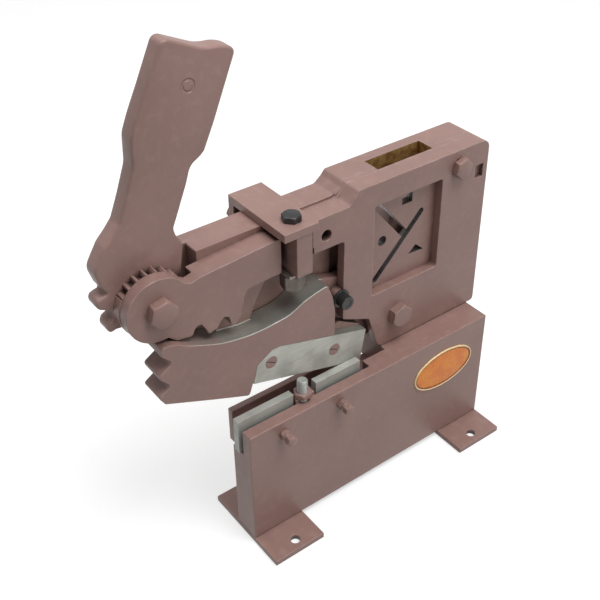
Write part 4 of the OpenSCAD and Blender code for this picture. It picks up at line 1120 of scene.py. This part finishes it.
@dataclass
class Head(SubAssembly):
    """The two frames and the gear cover, with their knives, bolts and screws."""

    plain: dict[str, Finish] = field(
        default_factory=lambda: {
            "front_frame": FRAME_PAINT,
            "rear_frame": FRAME_PAINT,
            "front_arm": FRAME_PAINT,
            "fixed_section_knife": KNIFE_PAINT,
            "fixed_knife_screws": PLAIN,
            "lever_pivot_washer": PLAIN,
            "lever_pivot_nut": PLAIN,
            "carrier_pivot_bolt": BOLT_PAINT,
            "carrier_thrust_washer": PLAIN,
            "carrier_pivot_nut": PLAIN,
            "idler_pin": PLAIN,
            "retaining_screw": BLACK,
            "retaining_washers": BLACK,
            "frame_fixing_screws": BLACK,
            "arm_fixing_screws": BLACK,
        }
    )
    back_y: float = 85.0
    front_y: float = 17.5
    web: tuple[Point, ...] = (
        (-28, 258, 6), (-59.7, 270, 20), (-131.1, 284, 20), (-200, 292, 20), (-229, 306, 12), (-229, 350, 8),
        (-213.1, 380, 4), (-28, 380, 2)
    )
    strips: tuple[tuple[tuple[Point, ...], tuple[float, float]], ...] = (
        (((-74, 418, 0), (-74, 424.2, 0), (-22, 424.2, 6), (-10.3, 435.6, 4), (-4.9, 442.2, 5), (45, 442.2, 0),
          (45, 418, 0)), (41.0, 49.0)),
        (((45, 430, 0), (45, 442.2, 0), (135, 442.2, 0), (135, 430, 0)), (41.0, 43.0)),
        (((135, 410, 0), (135, 442.2, 0), (211.7, 442.2, 12), (211.7, 410, 0)), (41.0, 49.0)),
    )
    web_y: tuple[float, float] = (45.2, 84.8)
    way: Point = (27.25, 278.99, 98.0)
    way_h: float = 124.0
    way_y: tuple[float, float] = (54.2, 84.8)
    way_shares: tuple[tuple[Point, ...], ...] = (
        ((-0.02, -0.02, 0), (0.14, 0.025, 0), (0.6, 0.4, 0), (0.7, 0.3, 0), (0.7, 0.19, 0), (0.93, 0.19, 0),
         (1.02, 0.19, 0), (1.02, -0.02, 0)),
        ((0.7, 0.3, 0), (0.6, 0.4, 0), (0.5, 0.5, 0), (0.53, 0.66, 0), (0.895, 0.66, 0), (1.02, 0.735, 0),
         (1.02, 0.19, 0), (0.93, 0.19, 0), (0.93, 0.3, 0)),
    )
    lever_p: tuple[float, float] = (-277.3253, 391.7891)
    carrier_p: tuple[float, float] = (66.0, 229.5)
    upper_p: tuple[float, float] = (161.0, 418.0)
    guide_p: tuple[float, float] = (-31.4307, 297.9215)
    guide_y: float = 14.5
    guide_length: float = 12.0
    guide_radius: float = 9.0

    def details(self) -> None:
        """Adds the arm's deep web, the joint's strips, the walls behind the window, bolts, threads and knurling.

        way_wall_1 comes out empty: its corner (0.93, 0.19) lies straight between its neighbours,
        which rounded() can't take. This is a known fault.
        """
        self.add((Plate("arm_web", self.web, *self.web_y, 1.5).build(), FRAME_PAINT))
        for number, (strip, across) in enumerate(self.strips, 1):
            self.add((Plate(f"joint_strip_{number}", strip, *across, 0.05).build(), FRAME_PAINT))
        for number, shares in enumerate(self.way_shares, 1):
            wall = tuple((self.way[0] + x * self.way[2], self.way[1] + z * self.way_h, r) for x, z, r in shares)
            self.add((Plate(f"way_wall_{number}", wall, *self.way_y, 0.6).build(), FRAME_PAINT))
        seat = (self.lever_p[0], self.front_y, self.lever_p[1])
        bolt = Hexagon("lever_bolt", seat, Way.FRONT, 31.0, 12.0, 12.0, shank=12.0, reach=85.0)
        self.wardrobe.fit(bolt.build(), BOLT_PAINT, self.body, "lever_pivot_bolt")
        seat = (self.upper_p[0], self.front_y, self.upper_p[1])
        bolt = Hexagon("upper_bolt", seat, Way.FRONT, 25.0, 10.0, 15.0, shank=8.0, reach=80.0)
        self.wardrobe.fit(bolt.build(), BOLT_PAINT, self.body, "upper_frame_bolt")
        seat = (self.upper_p[0], self.back_y, self.upper_p[1])
        nut = Hexagon("upper_nut", seat, Way.BACK, 25.0, 12.8, 25.0)
        self.wardrobe.fit(nut.build(), PLAIN, self.body, "upper_frame_nut")
        ends = (
            ("lever_bolt_thread", self.lever_p, 22.2, 2.0, 12.0, 2.5),
            ("carrier_bolt_thread", self.carrier_p, 16.0, 1.6, 10.0, 2.0),
            ("upper_bolt_thread", self.upper_p, 12.8, 1.4, 8.0, 1.75),
        )
        for name, p, start, length, radius, pitch in ends:
            foot = (p[0], self.back_y + start - 2.0, p[1])
            thread = Thread(name, foot, Way.BACK, length + 2.0, radius + 0.25, pitch, pitch * 0.5, 0.3)
            self.add((thread.build(), PLAIN))
        foot = (self.guide_p[0], self.guide_y, self.guide_p[1])
        knurl = Knurl("socket_head_knurl", foot, Way.FRONT, self.guide_length - 0.6, self.guide_radius + 0.3)
        self.add((knurl.build(), BLACK))


@dataclass
class Stirrup(SubAssembly):
    """The stirrup over the arm, with its bolt, pad, nut and clamp screw."""

    castings: dict[str, tuple[float, Finish]] = field(default_factory=lambda: {"stirrup_bracket": (1.0, PAINT)})
    plain: dict[str, Finish] = field(default_factory=lambda: {"stirrup_clamp_screw": BOLT_PAINT})
    bolt_p: tuple[float, float] = (-102.04, 20.22)
    plate_top: float = 438.0
    leg_end: float = 371.0
    bolt_size: tuple[float, float, float] = (21.0, 7.8, 6.0)
    pad_size: tuple[float, float] = (27.0, 4.0)
    nut_size: tuple[float, float] = (27.0, 20.0)

    def details(self) -> None:
        """Adds the bolt, the pad below the leg and the nut."""
        x, y = self.bolt_p
        flats, height, shank = self.bolt_size
        bolt = Hexagon("stirrup_screw", (x, y, self.plate_top), Way.UP, flats, height, 12.0, shank=shank, reach=88.0)
        self.wardrobe.fit(bolt.build(), BLACK, self.body, "stirrup_bolt")
        half, thick = self.pad_size[0] / 2, self.pad_size[1]
        square = ((x - half, y - half, 0), (x + half, y - half, 0), (x + half, y + half, 0), (x - half, y + half, 0))
        pad = Plate("leg_pad", square, self.leg_end - thick, self.leg_end, 0.7, Way.UP)
        self.wardrobe.fit(pad.build(), PAD, self.body, "stirrup_pad")
        flats, height = self.nut_size
        seat = (x, y, self.leg_end - thick - height)
        nut = Hexagon("leg_nut", seat, Way.UP, flats, height, 20.0, True)
        self.wardrobe.fit(nut.build(), NUT, self.body, "stirrup_nut")


@dataclass
class Lever(SubAssembly):
    """The hand lever with its gear, pins and bush.

    The wheel is drawn as the photograph shows it, with 21 teeth. The CAD's gear, which meshes,
    has 25, so the drawn wheel doesn't engage the idler inside the cover.
    """

    body: Body = Body.LEVER
    plain: dict[str, Finish] = field(default_factory=lambda: {"lever_bush": BRONZE, "gear_drive_pins": PLAIN})
    pivot: tuple[float, float] = (-277.3253, 391.7891)
    length: float = 280.0
    thick: tuple[float, float] = (45.3, 67.7)
    gear_y: float = 32.8
    shares: tuple[Point, ...] = (
        (0.174, 1.0073, 0.03), (0.34, 0.93, 0.2), (0.41, 0.926, 0.2), (0.466, 0.9, 0.025), (0.356, 0.645, 0.2),
        (0.305, 0.539, 0.05), (0.286, 0.524, 0.01), (0.241, 0.498, 0.06), (0.218, 0.43, 0.2), (0.162, 0.298, 0.1),
        (0.145, 0.26, 0.04), (0.155, 0.225, 0.04), (0.181, 0.183, 0.05), (0.171, 0.122, 0.05), (0.155, 0.03, 0.05),
        (0.13, -0.08, 0.08), (0.04, -0.15, 0.08), (-0.06, -0.148, 0.08), (-0.115, -0.088, 0.008),
        (-0.1421, -0.0846, 0.012), (-0.1643, -0.0904, 0.012), (-0.175, -0.0782, 0.012), (-0.1743, -0.0603, 0.012),
        (-0.1668, -0.0439, 0.012), (-0.1397, -0.0296, 0.012), (-0.1479, 0.0082, 0.012), (-0.1939, 0.0312, 0.012),
        (-0.2037, 0.0444, 0.012), (-0.2054, 0.0608, 0.012), (-0.1983, 0.0754, 0.012), (-0.1807, 0.0821, 0.012),
        (-0.152, 0.088, 0.012), (-0.175, 0.121, 0.05), (-0.196, 0.196, 0.06), (-0.141, 0.285, 0.05),
        (-0.104, 0.322, 0.05), (-0.071, 0.36, 0.05), (-0.03, 0.458, 0.3), (0.01, 0.566, 0.1), (0.016, 0.678, 0.1),
        (0.045, 0.745, 0.1), (0.096, 0.846, 0.2),
    )

    def details(self) -> None:
        """Adds the lever's casting and its gear."""
        long = self.length
        corners = tuple((self.pivot[0] + x * long, self.pivot[1] + z * long, r * long) for x, z, r in self.shares)
        casting = Plate("lever_casting", corners, *self.thick, 3.0).build()
        self.wardrobe.fit(casting, LEVER_PAINT, self.body, "lever")
        gear = Gear("toothed_wheel", (), self.gear_y, self.thick[0], 0.25, centre=self.pivot).build()
        self.wardrobe.fit(gear, BOLT_PAINT, self.body, "drive_gear")


@dataclass
class Idler(SubAssembly):
    """The idler gear inside the cover."""

    body: Body = Body.IDLER
    plain: dict[str, Finish] = field(default_factory=lambda: {"idler_gear": PLAIN})


@dataclass
class Carrier(SubAssembly):
    """The blade carrier with the upper blade and the moving knife."""

    body: Body = Body.CARRIER
    castings: dict[str, tuple[float, Finish]] = field(default_factory=lambda: {"blade_carrier": (1.0, CARRIER)})
    plain: dict[str, Finish] = field(
        default_factory=lambda: {
            "carrier_bush": BRONZE,
            "upper_blade": BLADE,
            "upper_blade_screws": BOLT_PAINT,
            "moving_section_knife": DARK,
            "moving_knife_screws": PLAIN,
        }
    )


def main() -> None:
    """Builds the whole scene in order and reports it."""
    logging.basicConfig(level=logging.INFO, format="%(message)s")
    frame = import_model()
    Viewpoint().set_up()
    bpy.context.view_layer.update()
    Studio().build()
    wardrobe = Wardrobe(frame["nodes"])
    for group in (Base, BladeSeat, Head, Stirrup, Lever, Idler, Carrier):
        group(wardrobe).build()


if __name__ == "__main__":
    main()
